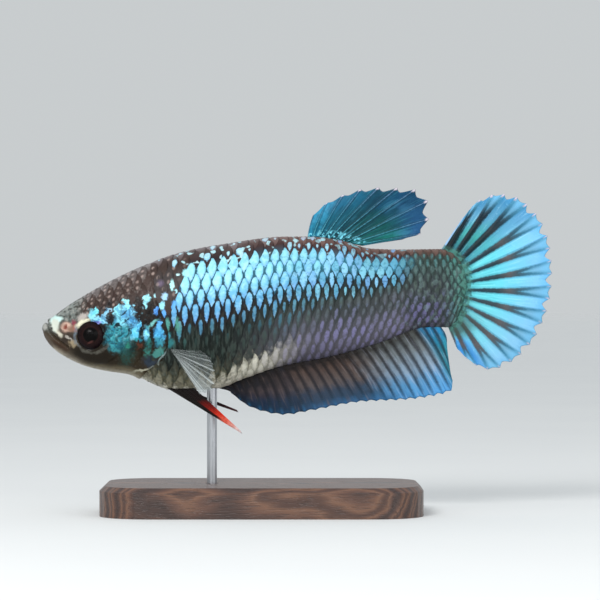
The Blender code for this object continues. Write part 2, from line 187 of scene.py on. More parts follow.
def smooth_path(points, per_span=8):
    """A Catmull-Rom curve through 2-D points."""
    p = np.array(points, float)
    p = np.vstack([2 * p[0] - p[1], p, 2 * p[-1] - p[-2]])
    t = (np.arange(per_span) / per_span)[:, None]
    spans = [
        0.5 * (2 * b + (c - a) * t + (2 * a - 5 * b + 4 * c - d) * t ** 2 + (3 * b - a - 3 * c + d) * t ** 3)
        for a, b, c, d in zip(p, p[1:], p[2:], p[3:])
    ]
    return np.vstack([*spans, p[-2:-1]])


def along(path, share):
    """The points at these shares of a path's length."""
    lengths = np.concatenate(([0], np.cumsum(np.linalg.norm(np.diff(path, axis=0), axis=1))))
    wanted = np.clip(share, 0, 1) * lengths[-1]
    return np.stack([np.interp(wanted, lengths, path[:, k]) for k in range(path.shape[1])], axis=-1)


def from_path(path, x, z):
    """Distance in the side view from a path, positive on its right hand."""
    best = np.full(x.shape, 1e9)
    signed = np.zeros(x.shape)
    for a, b in zip(path, path[1:]):
        way = b - a
        t = np.clip(((x - a[0]) * way[0] + (z - a[1]) * way[1]) / (way @ way), 0, 1)
        dx, dz = x - a[0] - t * way[0], z - a[1] - t * way[1]
        far = np.hypot(dx, dz)
        nearer = far < best
        side = np.sign(way[1] * (x - a[0]) - way[0] * (z - a[1]))
        signed = np.where(nearer, far * np.where(side == 0, 1, side), signed)
        best = np.where(nearer, far, best)
    return signed


def bump(distance, width):
    return np.exp(-((distance / width) ** 2))


def smooth(value, low, high):
    t = np.clip((value - low) / (high - low), 0, 1)
    return t * t * (3 - 2 * t)


# ---------------------------------------------------------------- the body as a surface
def section(x, turn):
    """Points of the body's surface: turn 0 is the back, 0.5 the belly, and the left side lies between."""
    top, bottom = back_at(x), belly_at(x)
    middle = bottom + (top - bottom) * widest_at(x)
    angle = 2 * math.pi * turn
    upper = np.cos(angle) > 0
    shape = np.where(upper, back_shape_at(x), belly_shape_at(x))
    out = half_width_at(x) * np.abs(np.sin(angle)) ** shape
    rise = np.where(upper, top - middle, middle - bottom) * np.cos(angle)
    return np.stack([x + 0 * turn, -np.copysign(out, np.sin(angle)), middle + rise], axis=-1)


def girth_turns(x, shares):
    """The turn at each share of the girth, measured along the skin from the back, for each x."""
    turns = np.linspace(0, 0.5, 241)
    ring = section(x[:, None], turns[None, :])
    steps = np.linalg.norm(np.diff(ring, axis=1), axis=2)
    lengths = np.concatenate([np.zeros((len(x), 1)), np.cumsum(steps, axis=1)], axis=1)
    lengths *= 0.5 / lengths[:, -1:]
    wrapped = shares - np.floor(shares)
    folded = np.minimum(wrapped, 1 - wrapped)
    found = np.stack([np.interp(folded, lengths[k], turns) for k in range(len(x))])
    whole = np.where(wrapped > 0.5, 1 - found, found)
    return whole + np.floor(shares)


def surface(x, shares):
    """A grid of points on the body, and the way out of the body at each."""
    turns = girth_turns(x, shares)
    grid = section(x[:, None] + 0 * turns, turns)
    lengthwise = np.gradient(grid, axis=0)
    around = np.gradient(grid, axis=1)
    if np.isclose(shares[-1] + shares[1] - 2 * shares[0], 1):  # a closed ring
        around[:, 0] = (grid[:, 1] - grid[:, -1]) / 2
        around[:, -1] = (grid[:, 0] - grid[:, -2]) / 2
    outward = np.cross(around, lengthwise)
    size = np.linalg.norm(outward, axis=2, keepdims=True)
    outward = np.where(size > 1e-12, outward / np.maximum(size, 1e-12), 0)
    middle = (back_at(grid[..., 0]) + belly_at(grid[..., 0])) / 2
    spoke = np.stack([0 * middle, grid[..., 1], grid[..., 2] - middle], axis=-1)
    outward *= np.sign((outward * spoke).sum(axis=2, keepdims=True))
    return grid, outward


gill_margin = smooth_path(GILL_MARGIN)


def behind_gill(x, z):
    """Distance behind the gill cover's edge, negative on the head."""
    return -from_path(gill_margin, x, z)


def gill_sink(x, z):
    """How far the flank lies below the gill cover's edge."""
    back = behind_gill(x, z)
    fade = smooth(z, 25.0, 22.0)
    return -GILL_STEP * fade * np.where(back > 0, np.exp(-np.maximum(back, 0) / 0.9), 0)


def from_point(point, x, z):
    """Distance in the side view from a point."""
    return np.hypot(x - point[0], z - point[-1])


def height_share(x, z):
    """0 on the belly line and 1 on the back line."""
    return (z - belly_at(x)) / np.maximum(back_at(x) - belly_at(x), 0.05)


def scaled_share(x, z):
    """1 where scales cover the skin, and 0 on the bare snout, lips, eye rims and throat."""
    height = height_share(x, z)
    crown = smooth(x, -22.2, -21.2) * smooth(height, 0.62, 0.75)
    cheek = smooth(x, -19.2, -18.2) * smooth(height, 0.14, 0.24)
    flank = smooth(behind_gill(x, z), -0.2, 0.2)
    return np.maximum(np.maximum(crown, cheek) * smooth(from_point(EYE_AT, x, z), 1.9, 2.3), flank)


def head_relief(x, z):
    """The fine forms of the head, in millimetres outward."""
    nostril, eye, back = from_point(NOSTRIL, x, z), from_point(EYE_AT, x, z), behind_gill(x, z)
    forms = [(from_path(smooth_path(line), x, z), 0.0, height, width) for line, height, width in HEAD_LINES]
    forms += [
        (nostril, 0.36, 0.07, 0.11), (nostril, 0.0, -0.16, 0.17),  # rim and pit
        (eye, 1.60, 0.09, 0.15), (eye, 1.34, -0.14, 0.09),  # rim of the socket and groove round the eye
        (back, -0.3, 0.03, 0.18), (np.minimum(back, 0), 0.0, -0.06, 0.06),  # swollen edge of the gill cover
    ]
    relief = sum(height * bump(distance - at, width) for distance, at, height, width in forms)
    relief -= EYE_HOLE_DEPTH * smooth(eye, 1.28, 1.1)
    ribs = np.sin(2.6 * (x + 0.8 * z)) * bump(z - 14.6, 0.6) * bump(x + 18.2, 2.2)
    return relief + 0.02 * ribs


# ---------------------------------------------------------------- meshes
def grid_faces(rows, columns, closed=False):
    r, c = np.meshgrid(np.arange(rows - 1), np.arange(columns if closed else columns - 1), indexing="ij")
    n = (c + 1) % columns
    here, below = r * columns, (r + 1) * columns
    quads = np.stack([here + c, here + n, below + n, below + c], axis=-1)
    return [tuple(q) for q in quads.reshape(-1, 4).tolist()]


def as_vectors(*columns):
    """A list of vectors from their three columns, each an array or one number."""
    return np.stack(np.broadcast_arrays(*columns), axis=-1).reshape(-1, 3)


def closed_faces(rows, columns):
    """The faces of a closed form made of rings, whose two tips are the last two points."""
    count = rows * columns
    last = count - columns
    faces = grid_faces(rows, columns, closed=True)
    faces += [(count, (k + 1) % columns, k) for k in range(columns)]
    faces += [(count + 1, last + k, last + (k + 1) % columns) for k in range(columns)]
    return faces


def add_object(name, data):
    made = bpy.data.objects.new(name, data)
    bpy.context.scene.collection.objects.link(made)
    return made


def new_mesh(name, points, faces):
    """An object made from points in millimetres."""
    mesh = bpy.data.meshes.new(name)
    mesh.from_pydata((np.asarray(points) * MM).tolist(), [], faces)
    mesh.validate()
    mesh.shade_smooth()
    return add_object(name, mesh)


def face_outwards(piece, merge=0.0):
    bm = bmesh.new()
    bm.from_mesh(piece.data)
    if merge:
        bmesh.ops.remove_doubles(bm, verts=bm.verts, dist=merge)
    bmesh.ops.recalc_face_normals(bm, faces=bm.faces)
    bm.to_mesh(piece.data)
    bm.free()
    piece.data.update()


def store(piece, name, values):
    """A vector attribute on the points of a mesh."""
    layer = piece.data.attributes.new(name, "FLOAT_VECTOR", "POINT")
    layer.data.foreach_set("vector", np.asarray(values, np.float32).ravel())


def store_map(piece, name, corner_values):
    layer = piece.data.uv_layers.new(name=name)
    layer.data.foreach_set("uv", np.asarray(corner_values, np.float32).ravel())


def corner_points(piece):
    found = np.empty(len(piece.data.loops), np.int64)
    piece.data.loops.foreach_get("vertex_index", found)
    return found


def give_finish(piece, material):
    piece.data.materials.clear()
    piece.data.materials.append(material)


def dress(piece, material, replaced=()):
    """Gives a finished piece its material and body, and hides the solids that it stands for."""
    give_finish(piece, material)
    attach(piece, "root")
    if replaced:
        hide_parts(*replaced)


# ---------------------------------------------------------------- shading kit
def tint(code):
    """A colour written as on screen, made linear."""
    parts = [int(code[k:k + 2], 16) / 255 for k in (1, 3, 5)]
    return tuple(c / 12.92 if c <= 0.04045 else ((c + 0.055) / 1.055) ** 2.4 for c in parts) + (1.0,)


def operator(operation, swapped=False):
    """An operator for wires that adds a Math node."""
    def act(self, other):
        return self.tree.math(operation, *((other, self) if swapped else (self, other)))
    return act


class Wire:
    """A node's output that takes part in sums."""

    def __init__(self, tree, socket):
        self.tree, self.socket = tree, socket

    __add__ = __radd__ = operator("ADD")
    __mul__ = __rmul__ = operator("MULTIPLY")
    __sub__, __rsub__ = operator("SUBTRACT"), operator("SUBTRACT", swapped=True)
    __truediv__ = operator("DIVIDE")
    __pow__ = operator("POWER")


def rgba(colour):
    """A colour for a socket or a ramp, from its code, from one number for a grey, or from its four parts."""
    if isinstance(colour, str):
        return tint(colour)
    return (colour, colour, colour, 1.0) if isinstance(colour, float) else colour


def set_stops(ramp, stops):
    while len(ramp.elements) < len(stops):
        ramp.elements.new(0.5)
    for element, (place, colour) in zip(ramp.elements, stops):
        element.position = place
        element.color = rgba(colour)


class Tree:
    """A node tree being made. A node's kind is its full name, or a shader node's name without its start."""

    def __init__(self, tree):
        self.nodes, self.links = tree.nodes, tree.links

    def join(self, socket, value):
        if isinstance(value, Wire):
            self.links.new(value.socket, socket)
        else:
            socket.default_value = rgba(value) if socket.type == "RGBA" else value

    def node(self, kind, settings, sockets, output=0):
        made = self.nodes.new(kind if "Node" in kind else "ShaderNode" + kind)
        for key, value in settings.items():
            if key == "stops":
                set_stops(made.color_ramp, value)
            else:
                setattr(made, key, value)
        for key, value in sockets.items():
            self.join(made.inputs[key], value)
        return Wire(self, made.outputs[output])

    def math(self, operation, *values):
        return self.node("Math", {"operation": operation}, dict(enumerate(values)))

    def vector(self, operation, sockets, output=0):
        return self.node("VectorMath", {"operation": operation}, sockets, output)

    def ramp(self, value, *stops):
        return self.node("ValToRGB", {"stops": stops}, {0: value})

    def parts(self, vector):
        split = self.node("SeparateXYZ", {}, {0: vector}).socket.node
        return [Wire(self, output) for output in split.outputs]


class Finish(Tree):
    """A material being made: a Principled shader and the nodes that feed it."""

    def __init__(self, name, constants):
        self.material = bpy.data.materials.new(name)
        self.material.use_nodes = True
        super().__init__(self.material.node_tree)
        self.shader = self.nodes["Principled BSDF"]
        for socket, value in constants.items():
            self.shader.inputs[socket].default_value = value

    def feed(self, **sockets):
        for key, value in sockets.items():
            self.join(self.shader.inputs[key.replace("_", " ")], value)

    def mix(self, share, low, high, how="MIX"):
        return self.node("Mix", {"data_type": "RGBA", "blend_type": how}, {0: share, 6: low, 7: high}, 2)

    def lay(self, ground, *coats):
        """Colours laid over a ground in turn. Each coat is its share, its colour and perhaps how it mixes."""
        for share, *colour_and_way in coats:
            ground = self.mix(share, ground, *colour_and_way)
        return ground

    def step(self, value, low, high):
        """0 at low and 1 at high, which may be the lesser of the two."""
        kind = {"interpolation_type": "SMOOTHSTEP"}
        return self.node("MapRange", kind, {0: value, 1: low, 2: high, 3: 0.0, 4: 1.0})

    def attribute(self, name):
        return self.node("Attribute", {"attribute_name": name}, {}, 1)

    def place(self):
        """The point's place in millimetres."""
        return self.vector("SCALE", {0: self.node("TexCoord", {}, {}, 3), 3: 1 / MM})

    def shake(self, vector, amount, scale, detail=2.0):
        """The place moved about by noise, which roughens the outline of a marking."""
        cloud = self.node("TexNoise", {}, {"Vector": vector, "Scale": scale, "Detail": detail}, 1)
        centred = self.vector("SUBTRACT", {0: cloud, 1: (0.5, 0.5, 0.5)})
        return self.vector("ADD", {0: vector, 1: self.vector("SCALE", {0: centred, 3: amount})})

    def noise(self, vector, scale, detail=2.0):
        return self.node("TexNoise", {}, {"Vector": vector, "Scale": scale, "Detail": detail})

    def stretched(self, vector, sizes):
        return self.vector("MULTIPLY", {0: vector, 1: sizes})

    def beside(self, place, x, z, rx=1.0, rz=1.0, tilt=0.0):
        """The place in the side view from an ellipse's middle, in its own half sizes."""
        sockets = {
            "Vector": place, "Location": (x, 0, z), "Rotation": (0, math.radians(tilt), 0),
            "Scale": (rx, ANY_DEPTH, rz),
        }
        return self.node("Mapping", {"vector_type": "TEXTURE"}, sockets)

    def length(self, vector):
        return self.vector("LENGTH", {0: vector}, 1)

    def blob(self, place, x, z, rx, rz, tilt=0.0, soft=0.25):
        """1 inside an ellipse seen from the side, 0 outside. tilt turns it, in degrees, rear end down."""
        return self.step(self.length(self.beside(place, x, z, rx, rz, tilt)), 1 + soft, 1 - soft)

    def relief(self, height, distance):
        return self.node("Bump", {}, {"Height": height, "Distance": distance, "Strength": 1.0})


# ---------------------------------------------------------------- the fish's markings
PLAIN, RAGGED, VEINED = range(3)  # how a mark's outline runs
HEAD_MARKS = (  # x, z, half length, half height, tilt, softness, colour, outline
    # the first mark is a painted shadow under the eye
    (-20.3, 15.9, 2.6, 0.9, 8, 0.5, "#1a140b", PLAIN),
    (-24.85, 17.3, 0.35, 0.9, -35, 0.5, "#4e4236", PLAIN),
    (-23.5, 16.75, 0.9, 0.32, 38, 0.5, "#38281c", PLAIN),
    (-22.75, 17.5, 0.6, 0.45, 0, 0.5, "#2e2620", PLAIN),
    (-22.7, 17.55, 0.42, 0.12, 35, 0.6, "#969088", RAGGED),
    (-22.2, 17.0, 0.42, 0.34, 20, 0.6, "#8c7e66", RAGGED),
    (-24.0, 19.35, 0.66, 0.36, -18, 0.3, "#bcd8d2", PLAIN),
    (-24.0, 18.75, 0.45, 0.7, -24, 0.3, "#bec4b8", PLAIN),
    (-23.6, 18.0, 0.24, 0.42, -24, 0.4, "#b8b4a4", PLAIN),
    (-22.95, 18.55, 0.68, 0.66, 0, 0.4, "#46362e", PLAIN),
    (-22.88, 18.62, 0.5, 0.48, 0, 0.4, "#b89a8a", PLAIN),
    (-22.4, 18.4, 0.4, 0.26, 0, 0.7, "#7c6050", PLAIN),
    (-22.98, 18.6, 0.2, 0.22, 0, 0.7, "#7c4438", PLAIN),
    (-22.15, 19.0, 0.22, 0.26, -20, 0.7, "#7a3844", PLAIN),
    (-22.05, 18.6, 0.2, 0.3, 0, 0.6, "#8c5a4e", PLAIN),
    (-21.2, 19.65, 0.6, 0.3, -24, 0.6, "#a49c96", RAGGED),
    (-21.22, 19.05, 0.76, 0.29, -28, 0.4, "#d4d0b8", PLAIN),
    (-25.15, 18.6, 0.32, 0.36, 0, 0.5, "#94948f", PLAIN),
    (-15.0, 20.0, 1.1, 1.0, 0, 0.7, "#1e1714", RAGGED),
    (-17.75, 17.6, 1.25, 1.4, 0, 0.35, "#3a929c", VEINED),
    (-17.1, 16.6, 0.7, 0.6, 0, 0.6, "#2c6a70", VEINED),
    (-16.8, 15.9, 0.6, 1.0, 20, 0.8, "#1e403a", VEINED),
    (-17.95, 18.75, 0.5, 0.55, 20, 0.5, "#3ca4b4", VEINED),
    (-17.2, 17.9, 0.3, 0.9, 25, 0.5, "#3e98a6", VEINED),
    (-17.35, 19.5, 0.75, 0.9, 10, 0.3, "#78c8dc", VEINED),
    (-16.75, 20.0, 0.66, 0.9, -10, 0.3, "#74c0e4", VEINED),
    (-17.75, 20.35, 0.34, 0.5, 30, 0.3, "#84ccdc", RAGGED),
    (-16.3, 19.1, 0.45, 0.5, 0, 0.4, "#60b0dc", VEINED),
    (-17.0, 21.1, 0.32, 0.26, 0, 0.3, "#9ce4ea", RAGGED),
    (-16.8, 20.6, 0.26, 0.26, 0, 0.3, "#86d8ea", RAGGED),
    (-20.35, 19.8, 0.3, 0.62, -14, 0.3, "#84ccd8", RAGGED),
    (-20.05, 20.25, 0.2, 0.34, 24, 0.3, "#7cd8e6", RAGGED),
    (-19.65, 19.3, 0.8, 0.32, 10, 0.3, "#80c4dc", RAGGED),
    (-18.95, 19.85, 0.24, 0.55, 24, 0.3, "#78b4cc", RAGGED),
    (-18.65, 20.35, 0.3, 0.16, 0, 0.4, "#8cb0c4", RAGGED),
    (-20.0, 19.06, 0.55, 0.14, -4, 0.5, "#8c92d8", PLAIN),
    (-18.5, 19.5, 0.24, 0.4, 8, 0.4, "#141418", RAGGED),
    (-17.75, 18.72, 0.4, 0.3, 0, 0.4, "#0d2a30", RAGGED),
    (-17.2, 20.0, 0.42, 0.1, -24, 0.5, "#16323e", RAGGED),
    (-16.85, 19.3, 0.5, 0.08, -36, 0.5, "#17384a", RAGGED),
    (-17.6, 17.7, 0.7, 0.12, -40, 0.7, "#1a4850", RAGGED),
    (-16.02, 18.05, 0.44, 0.62, 10, 0.3, "#5cbcdc", RAGGED),
    (-15.7, 18.8, 0.22, 0.42, 16, 0.35, "#64c0e4", RAGGED),
    (-16.62, 18.15, 0.09, 0.66, 24, 0.6, "#10303c", RAGGED),
    (-15.52, 17.85, 0.1, 0.8, 20, 0.6, "#10262c", PLAIN),
    (-15.75, 17.35, 0.36, 0.2, -10, 0.4, "#2f8c96", RAGGED),
    (-14.9, 17.85, 0.32, 0.62, 8, 0.3, "#84d4ec", PLAIN),
    (-14.75, 18.5, 0.2, 0.3, 24, 0.4, "#4c9ca4", RAGGED),
    (-14.15, 19.05, 0.56, 0.15, -42, 0.5, "#68a8a4", PLAIN),
    (-13.6, 18.75, 0.2, 0.66, 4, 0.3, "#58a0d4", RAGGED),
    (-13.62, 17.8, 0.5, 0.76, 3, 0.3, "#58b4e0", RAGGED),
    (-14.42, 17.4, 0.12, 0.9, 8, 0.6, "#101a1c", PLAIN),
    (-16.77, 16.75, 0.15, 0.17, 0, 0.7, "#2f7c68", RAGGED),
    (-13.65, 17.15, 0.44, 0.45, 0, 0.5, "#38889a", RAGGED),
    (-14.8, 17.1, 0.26, 0.4, 0, 0.5, "#2f7c78", VEINED),
    (-14.8, 16.3, 0.32, 0.75, 0, 0.5, "#306c64", VEINED),
    (-13.75, 16.1, 0.74, 0.36, -34, 0.4, "#407a74", RAGGED),
    (-14.6, 15.15, 0.66, 0.5, 20, 0.5, "#252f3a", RAGGED),
    (-15.65, 16.8, 0.22, 0.3, 0, 0.5, "#5c3020", RAGGED),
    (-15.3, 14.3, 0.95, 0.12, -8, 0.6, "#a09e8c", PLAIN),
    (-14.2, 14.65, 0.6, 0.14, -38, 0.6, "#98a098", PLAIN),
    (-13.3, 15.75, 0.8, 0.1, -50, 0.6, "#7c9090", PLAIN),
    (-14.9, 21.45, 0.36, 0.32, 0, 0.3, "#98dce6", RAGGED),
    (-15.0, 20.85, 0.16, 0.26, 0, 0.4, "#8cd0e0", RAGGED),
    (-13.95, 21.8, 0.26, 0.25, 0, 0.3, "#a8dce6", PLAIN),
    (-13.9, 20.2, 0.24, 0.4, 0, 0.3, "#5c9ce0", RAGGED),
    (-16.1, 20.75, 0.12, 0.12, 0, 0.5, "#8cc4d6", PLAIN),
    (-16.0, 20.1, 0.13, 0.1, 0, 0.5, "#6cb0cc", PLAIN),
)
NAPE_MARKS = (  # the spots on the brown nape and behind the gill cover, just ahead of the bright scales
    (-13.1, 21.65, 0.32, 0.34, 0, 0.35, "#98c4e0", PLAIN),
    (-13.35, 20.75, 0.24, 0.42, 10, 0.35, "#8cccdc", RAGGED),
    (-13.2, 19.95, 0.22, 0.4, 0, 0.35, "#5a9cd8", RAGGED),
    (-12.35, 22.75, 0.22, 0.5, 0, 0.3, "#a4dcdc", RAGGED),
    (-11.95, 22.2, 0.13, 0.2, 0, 0.4, "#94ccd8", RAGGED),
    (-11.8, 23.75, 0.15, 0.16, 0, 0.4, "#b8e0e4", RAGGED),
    (-12.2, 20.7, 0.22, 0.55, 0, 0.35, "#5ca0dc", RAGGED),
    (-11.0, 23.95, 0.36, 0.4, 0, 0.35, "#98d8e0", RAGGED),
    (-13.55, 22.95, 0.28, 0.3, 0, 0.8, "#5c5062", PLAIN),
    (-14.6, 23.0, 0.2, 0.22, 0, 0.6, "#5c5446", PLAIN),
    (-12.8, 18.9, 0.2, 0.6, 0, 0.5, "#4c8c84", RAGGED),
    (-11.85, 18.9, 0.2, 0.6, 0, 0.5, "#48887c", RAGGED),
    (-12.8, 17.7, 0.26, 0.4, 20, 0.5, "#3a8490", RAGGED),
    (-12.5, 17.0, 0.3, 0.4, 20, 0.5, "#2c6c70", RAGGED),
)


def lay_marks(f, ground, marks, rough, ragged, whole):
    """Marks laid over a ground. rough and ragged are shaken places, and whole is 0 on the veins."""
    coats = []
    for x, z, rx, rz, tilt, soft, colour, outline in marks:
        mask = f.blob(rough if outline == PLAIN else ragged, x, z, rx, rz, tilt, soft)
        coats.append((mask * whole if outline == VEINED else mask, colour))
    return f.lay(ground, *coats)


def head_ground(f, place, x, t):
    """The snout's and skull's own colours, speckled."""
    snout = f.ramp(
        t, (0.0, "#b0a898"), (0.10, "#7c7060"), (0.2, "#42362a"), (0.42, "#3c342a"), (0.7, "#565c58"),
        (1.0, "#7c827e"))
    skull = f.ramp(
        t, (0.0, "#a8a18f"), (0.045, "#6c6450"), (0.095, "#2c2416"), (0.45, "#17120c"), (0.62, "#231a16"),
        (0.8, "#3c2e2a"), (0.93, "#4c403c"), (1.0, "#858080"))
    mottle, grit = f.noise(place, 2.4, 3.0), f.noise(place, 5.0, 2.0)
    spotted = f.step(x, -20.5, -22.0) * f.step(t, 0.5, 0.7)
    return f.lay(
        snout,
        (f.step(x, -22.4, -20.9), skull),
        (f.step(mottle, 0.49, 0.38) * (spotted * 0.55 + 0.25), "#2a2620"),
        (f.step(mottle, 0.54, 0.64) * f.step(t, 0.45, 0.7) * (spotted * 0.3 + 0.1), "#b0aca4"),
        (f.step(grit, 0.55, 0.7) * (spotted * 0.25 + 0.05), "#9c968c"))


def head_colour(f, place, x, t):
    """The head's ground colours with its marks laid over them."""
    z = f.parts(place)[2]
    rough = f.shake(f.shake(place, 0.5, 1.5), 0.2, 4.5)
    ragged = f.shake(rough, 0.85, 2.6, 3.0)
    patchy = f.noise(place, 2.6, 3.0)
    vein = f.node("TexVoronoi", {"feature": "DISTANCE_TO_EDGE"}, {
        "Vector": f.stretched(ragged, (1.0, 0.4, 0.85)), "Scale": 1.7})
    whole = (f.step(vein, 0.01, 0.10) * 0.6 + 0.4) * (f.step(patchy, 0.36, 0.5) * 0.35 + 0.65)
    marked = lay_marks(f, head_ground(f, place, x, t), HEAD_MARKS, rough, ragged, whole)

    shiny = f.blob(rough, -16.6, 18.8, 2.2, 1.8, 0, 0.4) * f.step(patchy, 0.54, 0.66)
    cheek = f.blob(rough, -16.7, 18.9, 4.3, 2.7, 0, 0.15)
    flake = f.parts(f.node("TexVoronoi", {"feature": "F1"}, {"Vector": ragged, "Scale": 2.3}, 1))[0]
    tone = f.ramp(flake, (0.25, "#8cacc4"), (0.42, "#c4dce8"), (0.55, "#fafeff"), (1.0, "#ffffff"))

    # a pale crescent under and behind the eye
    from_eye = f.length(f.beside(rough, EYE_AT[0] + 0.1, EYE_AT[2] + 0.05))
    crescent = f.step(from_eye, 1.60, 1.72) * f.step(from_eye, 2.05, 1.82)
    crescent = crescent * f.step(z + x * 0.55, 6.9, 6.3) * (f.step(patchy, 0.35, 0.55) * 0.4 + 0.35)
    return f.lay(
        marked,
        (shiny * 0.3, "#8cc8d6", "SCREEN"),
        (cheek * 0.75, tone, "MULTIPLY"),
        (crescent, f.mix(f.step(z, 16.4, 17.4), "#5c5a52", "#6c7884")))


def cream_share(f, x, t):
    """The pale band along the belly, low in front and rising clear of the edge before the anal fin."""
    foot = f.step(x, -4.5, 3.5) * 0.13
    height = f.step(x, -11.5, -4.5) * 0.09 + 0.03
    return f.step((t - foot) / height, 1.35, 0.6) * f.step(t - foot, -0.05, 0.02) * f.step(x, 2.0, -3.5)


def nape_share(f, x, t):
    """The brown nape reaches back over the first scales, further near the back."""
    return f.step(x - t * 5.15, -14.9, -15.5) * f.step(t, 0.47, 0.55)


def lay_nape_marks(f, ground, place):
    rough = f.shake(f.shake(place, 0.4, 2.6), 0.25, 6.0)
    return lay_marks(f, ground, NAPE_MARKS, rough, rough, 1.0)


def flank_ground(f, x, t):
    """The dark skin that shows as a net between the scales' bright middles."""
    front = f.ramp(
        t, (0.0, "#b4b09e"), (0.04, "#94907c"), (0.08, "#66634f"), (0.15, "#34352c"), (0.22, "#181d1a"),
        (0.4, "#101917"), (0.5, "#1c1416"), (0.6, "#1a222a"), (0.7, "#1c4458"), (0.84, "#205264"),
        (0.9, "#2a2022"), (0.96, "#4a3e3c"), (1.0, "#7c7476"))
    rear = f.ramp(
        t, (0.0, "#52505a"), (0.12, "#54535c"), (0.3, "#44464b"), (0.45, "#252d2a"), (0.58, "#18242a"),
        (0.66, "#2c6070"), (0.84, "#347084"), (0.92, "#3c2826"), (1.0, "#745c56"))
    stalk = f.ramp(
        t, (0.0, "#34343e"), (0.3, "#35383e"), (0.6, "#2c3a38"), (0.88, "#2c3c38"), (0.95, "#4c3a34"),
        (1.0, "#6a5650"))
    cream = f.mix(f.step(x, -5.0, 0.0), "#c0bdac", "#8c8a88")
    return f.lay(
        front,
        (f.step(x, -8.0, 1.0), rear),
        (cream_share(f, x, t), cream),
        (f.step(x, 10.0, 12.5), stalk),
        (nape_share(f, x, t) * f.step(t, 1.0, 0.9) * 0.9, "#3d312c"),
        (f.step(x, 14.6, 16.6) * 0.8, "#2c4c48"))


def flank_shine(f, x, t):
    """The colour of the scales' bright middles."""
    front = f.ramp(
        t, (0.0, "#b4b09c"), (0.1, "#807e6e"), (0.17, "#343c35"), (0.36, "#263a37"), (0.43, "#346878"),
        (0.5, "#4f8abc"), (0.62, "#64a8cc"), (0.74, "#7cc4d4"), (0.88, "#8ccdd8"), (1.0, "#b4ccd2"))
    sunk = t + f.step(x, 4.0, -3.0) * f.step(t, 0.5, 0.34) * 0.14  # the lilac starts lower in front
    rear = f.ramp(
        sunk, (0.0, "#6c6a84"), (0.06, "#747292"), (0.2, "#767496"), (0.3, "#64667a"), (0.4, "#4a5854"),
        (0.5, "#4284a0"), (0.6, "#5898b8"), (0.74, "#6cb4cc"), (0.88, "#7cc4d0"), (1.0, "#b0a4a4"))
    stalk = f.ramp(
        t, (0.0, "#4c4848"), (0.1, "#54526c"), (0.2, "#5c5a84"), (0.3, "#58587a"), (0.36, "#4a5852"),
        (0.7, "#4a6666"), (0.9, "#3c7c80"), (1.0, "#7c6860"))
    cream = f.mix(f.step(x, -5.0, 0.0), "#eeecde", "#b4b0b0")
    return f.lay(
        front,
        (f.step(x, -6.0, 1.0), rear),
        (f.step(x, 1.0, 8.0) * f.step(t, 0.45, 0.6) * 0.66, "#407890"),
        (behind_pectoral(f, x, t, 0.54, 0.46, 0.3), "#3c7c78"),
        (cream_share(f, x, t), cream),
        (f.step(x, 9.6, 11.8), stalk),
        (f.step(x, 14.2, 16.4) * 0.8, "#4c8c80"))


def behind_pectoral(f, x, t, top, upper, bottom):
    """The patch of flank just behind the gill cover, above the pectoral fin."""
    return f.step(x, -10.5, -12.0) * f.step(t, top, upper) * f.step(t, bottom, 0.38)


def flank_glow(f, x, t):
    """How much of a scale its bright middle takes, 0 to 1."""
    front = f.ramp(
        t, (0.0, 0.8), (0.08, 0.6), (0.16, 0.35), (0.38, 0.3), (0.43, 0.4), (0.49, 0.5), (0.54, 0.66),
        (0.62, 0.84), (0.68, 1.0), (0.89, 1.0), (0.93, 0.4), (1.0, 0.2))
    rear = f.ramp(
        t, (0.0, 0.6), (0.25, 0.66), (0.34, 0.5), (0.45, 0.45), (0.54, 0.7), (0.62, 0.92), (0.87, 1.0),
        (0.91, 0.3), (1.0, 0.15))
    stalk = f.ramp(t, (0.0, 0.6), (0.3, 0.66), (0.4, 0.5), (0.7, 0.54), (0.88, 0.5), (1.0, 0.15))
    return f.lay(
        front,
        (f.step(x, -8.0, 1.0), rear),
        (behind_pectoral(f, x, t, 0.5, 0.44, 0.32), 0.55),
        (nape_share(f, x, t), 0.12),
        (f.step(x, 9.6, 12.0), stalk))


def stalk_marbling(f, place):
    """Dark and green patches at the end of the tail stalk, which run on over the foot of the tail fin."""
    return f.mix(f.step(f.noise(place, 2.2, 2.0), 0.4, 0.6), "#2a4842", "#44786e")


def make_skin_finish():
    f = Finish("fish_skin", {"Roughness": 0.5, "Specular IOR Level": 0.1, "Coat Roughness": 0.15})
    place = f.place()
    x, t, _ = f.parts(f.attribute("lie"))
    fleck = f.step(f.noise(f.stretched(place, (1.0, 1.0, 0.35)), 1.8, 2.0), 0.62, 0.75) * 0.4
    ground = lay_nape_marks(f, f.mix(fleck, flank_ground(f, x, t), flank_shine(f, x, t)), place)
    colour = f.lay(
        ground,
        (f.step(x, 15.2, 16.4) * 0.8, stalk_marbling(f, place)),
        (f.parts(f.attribute("kin"))[0], head_colour(f, place, x, t)))
    f.feed(Base_Color=colour, Coat_Weight=f.noise(place, 1.0) * 0.12 + 0.03,
           Normal=f.relief(f.noise(place, 6.0, 4.0), SKIN_GRAIN))
    return f.material


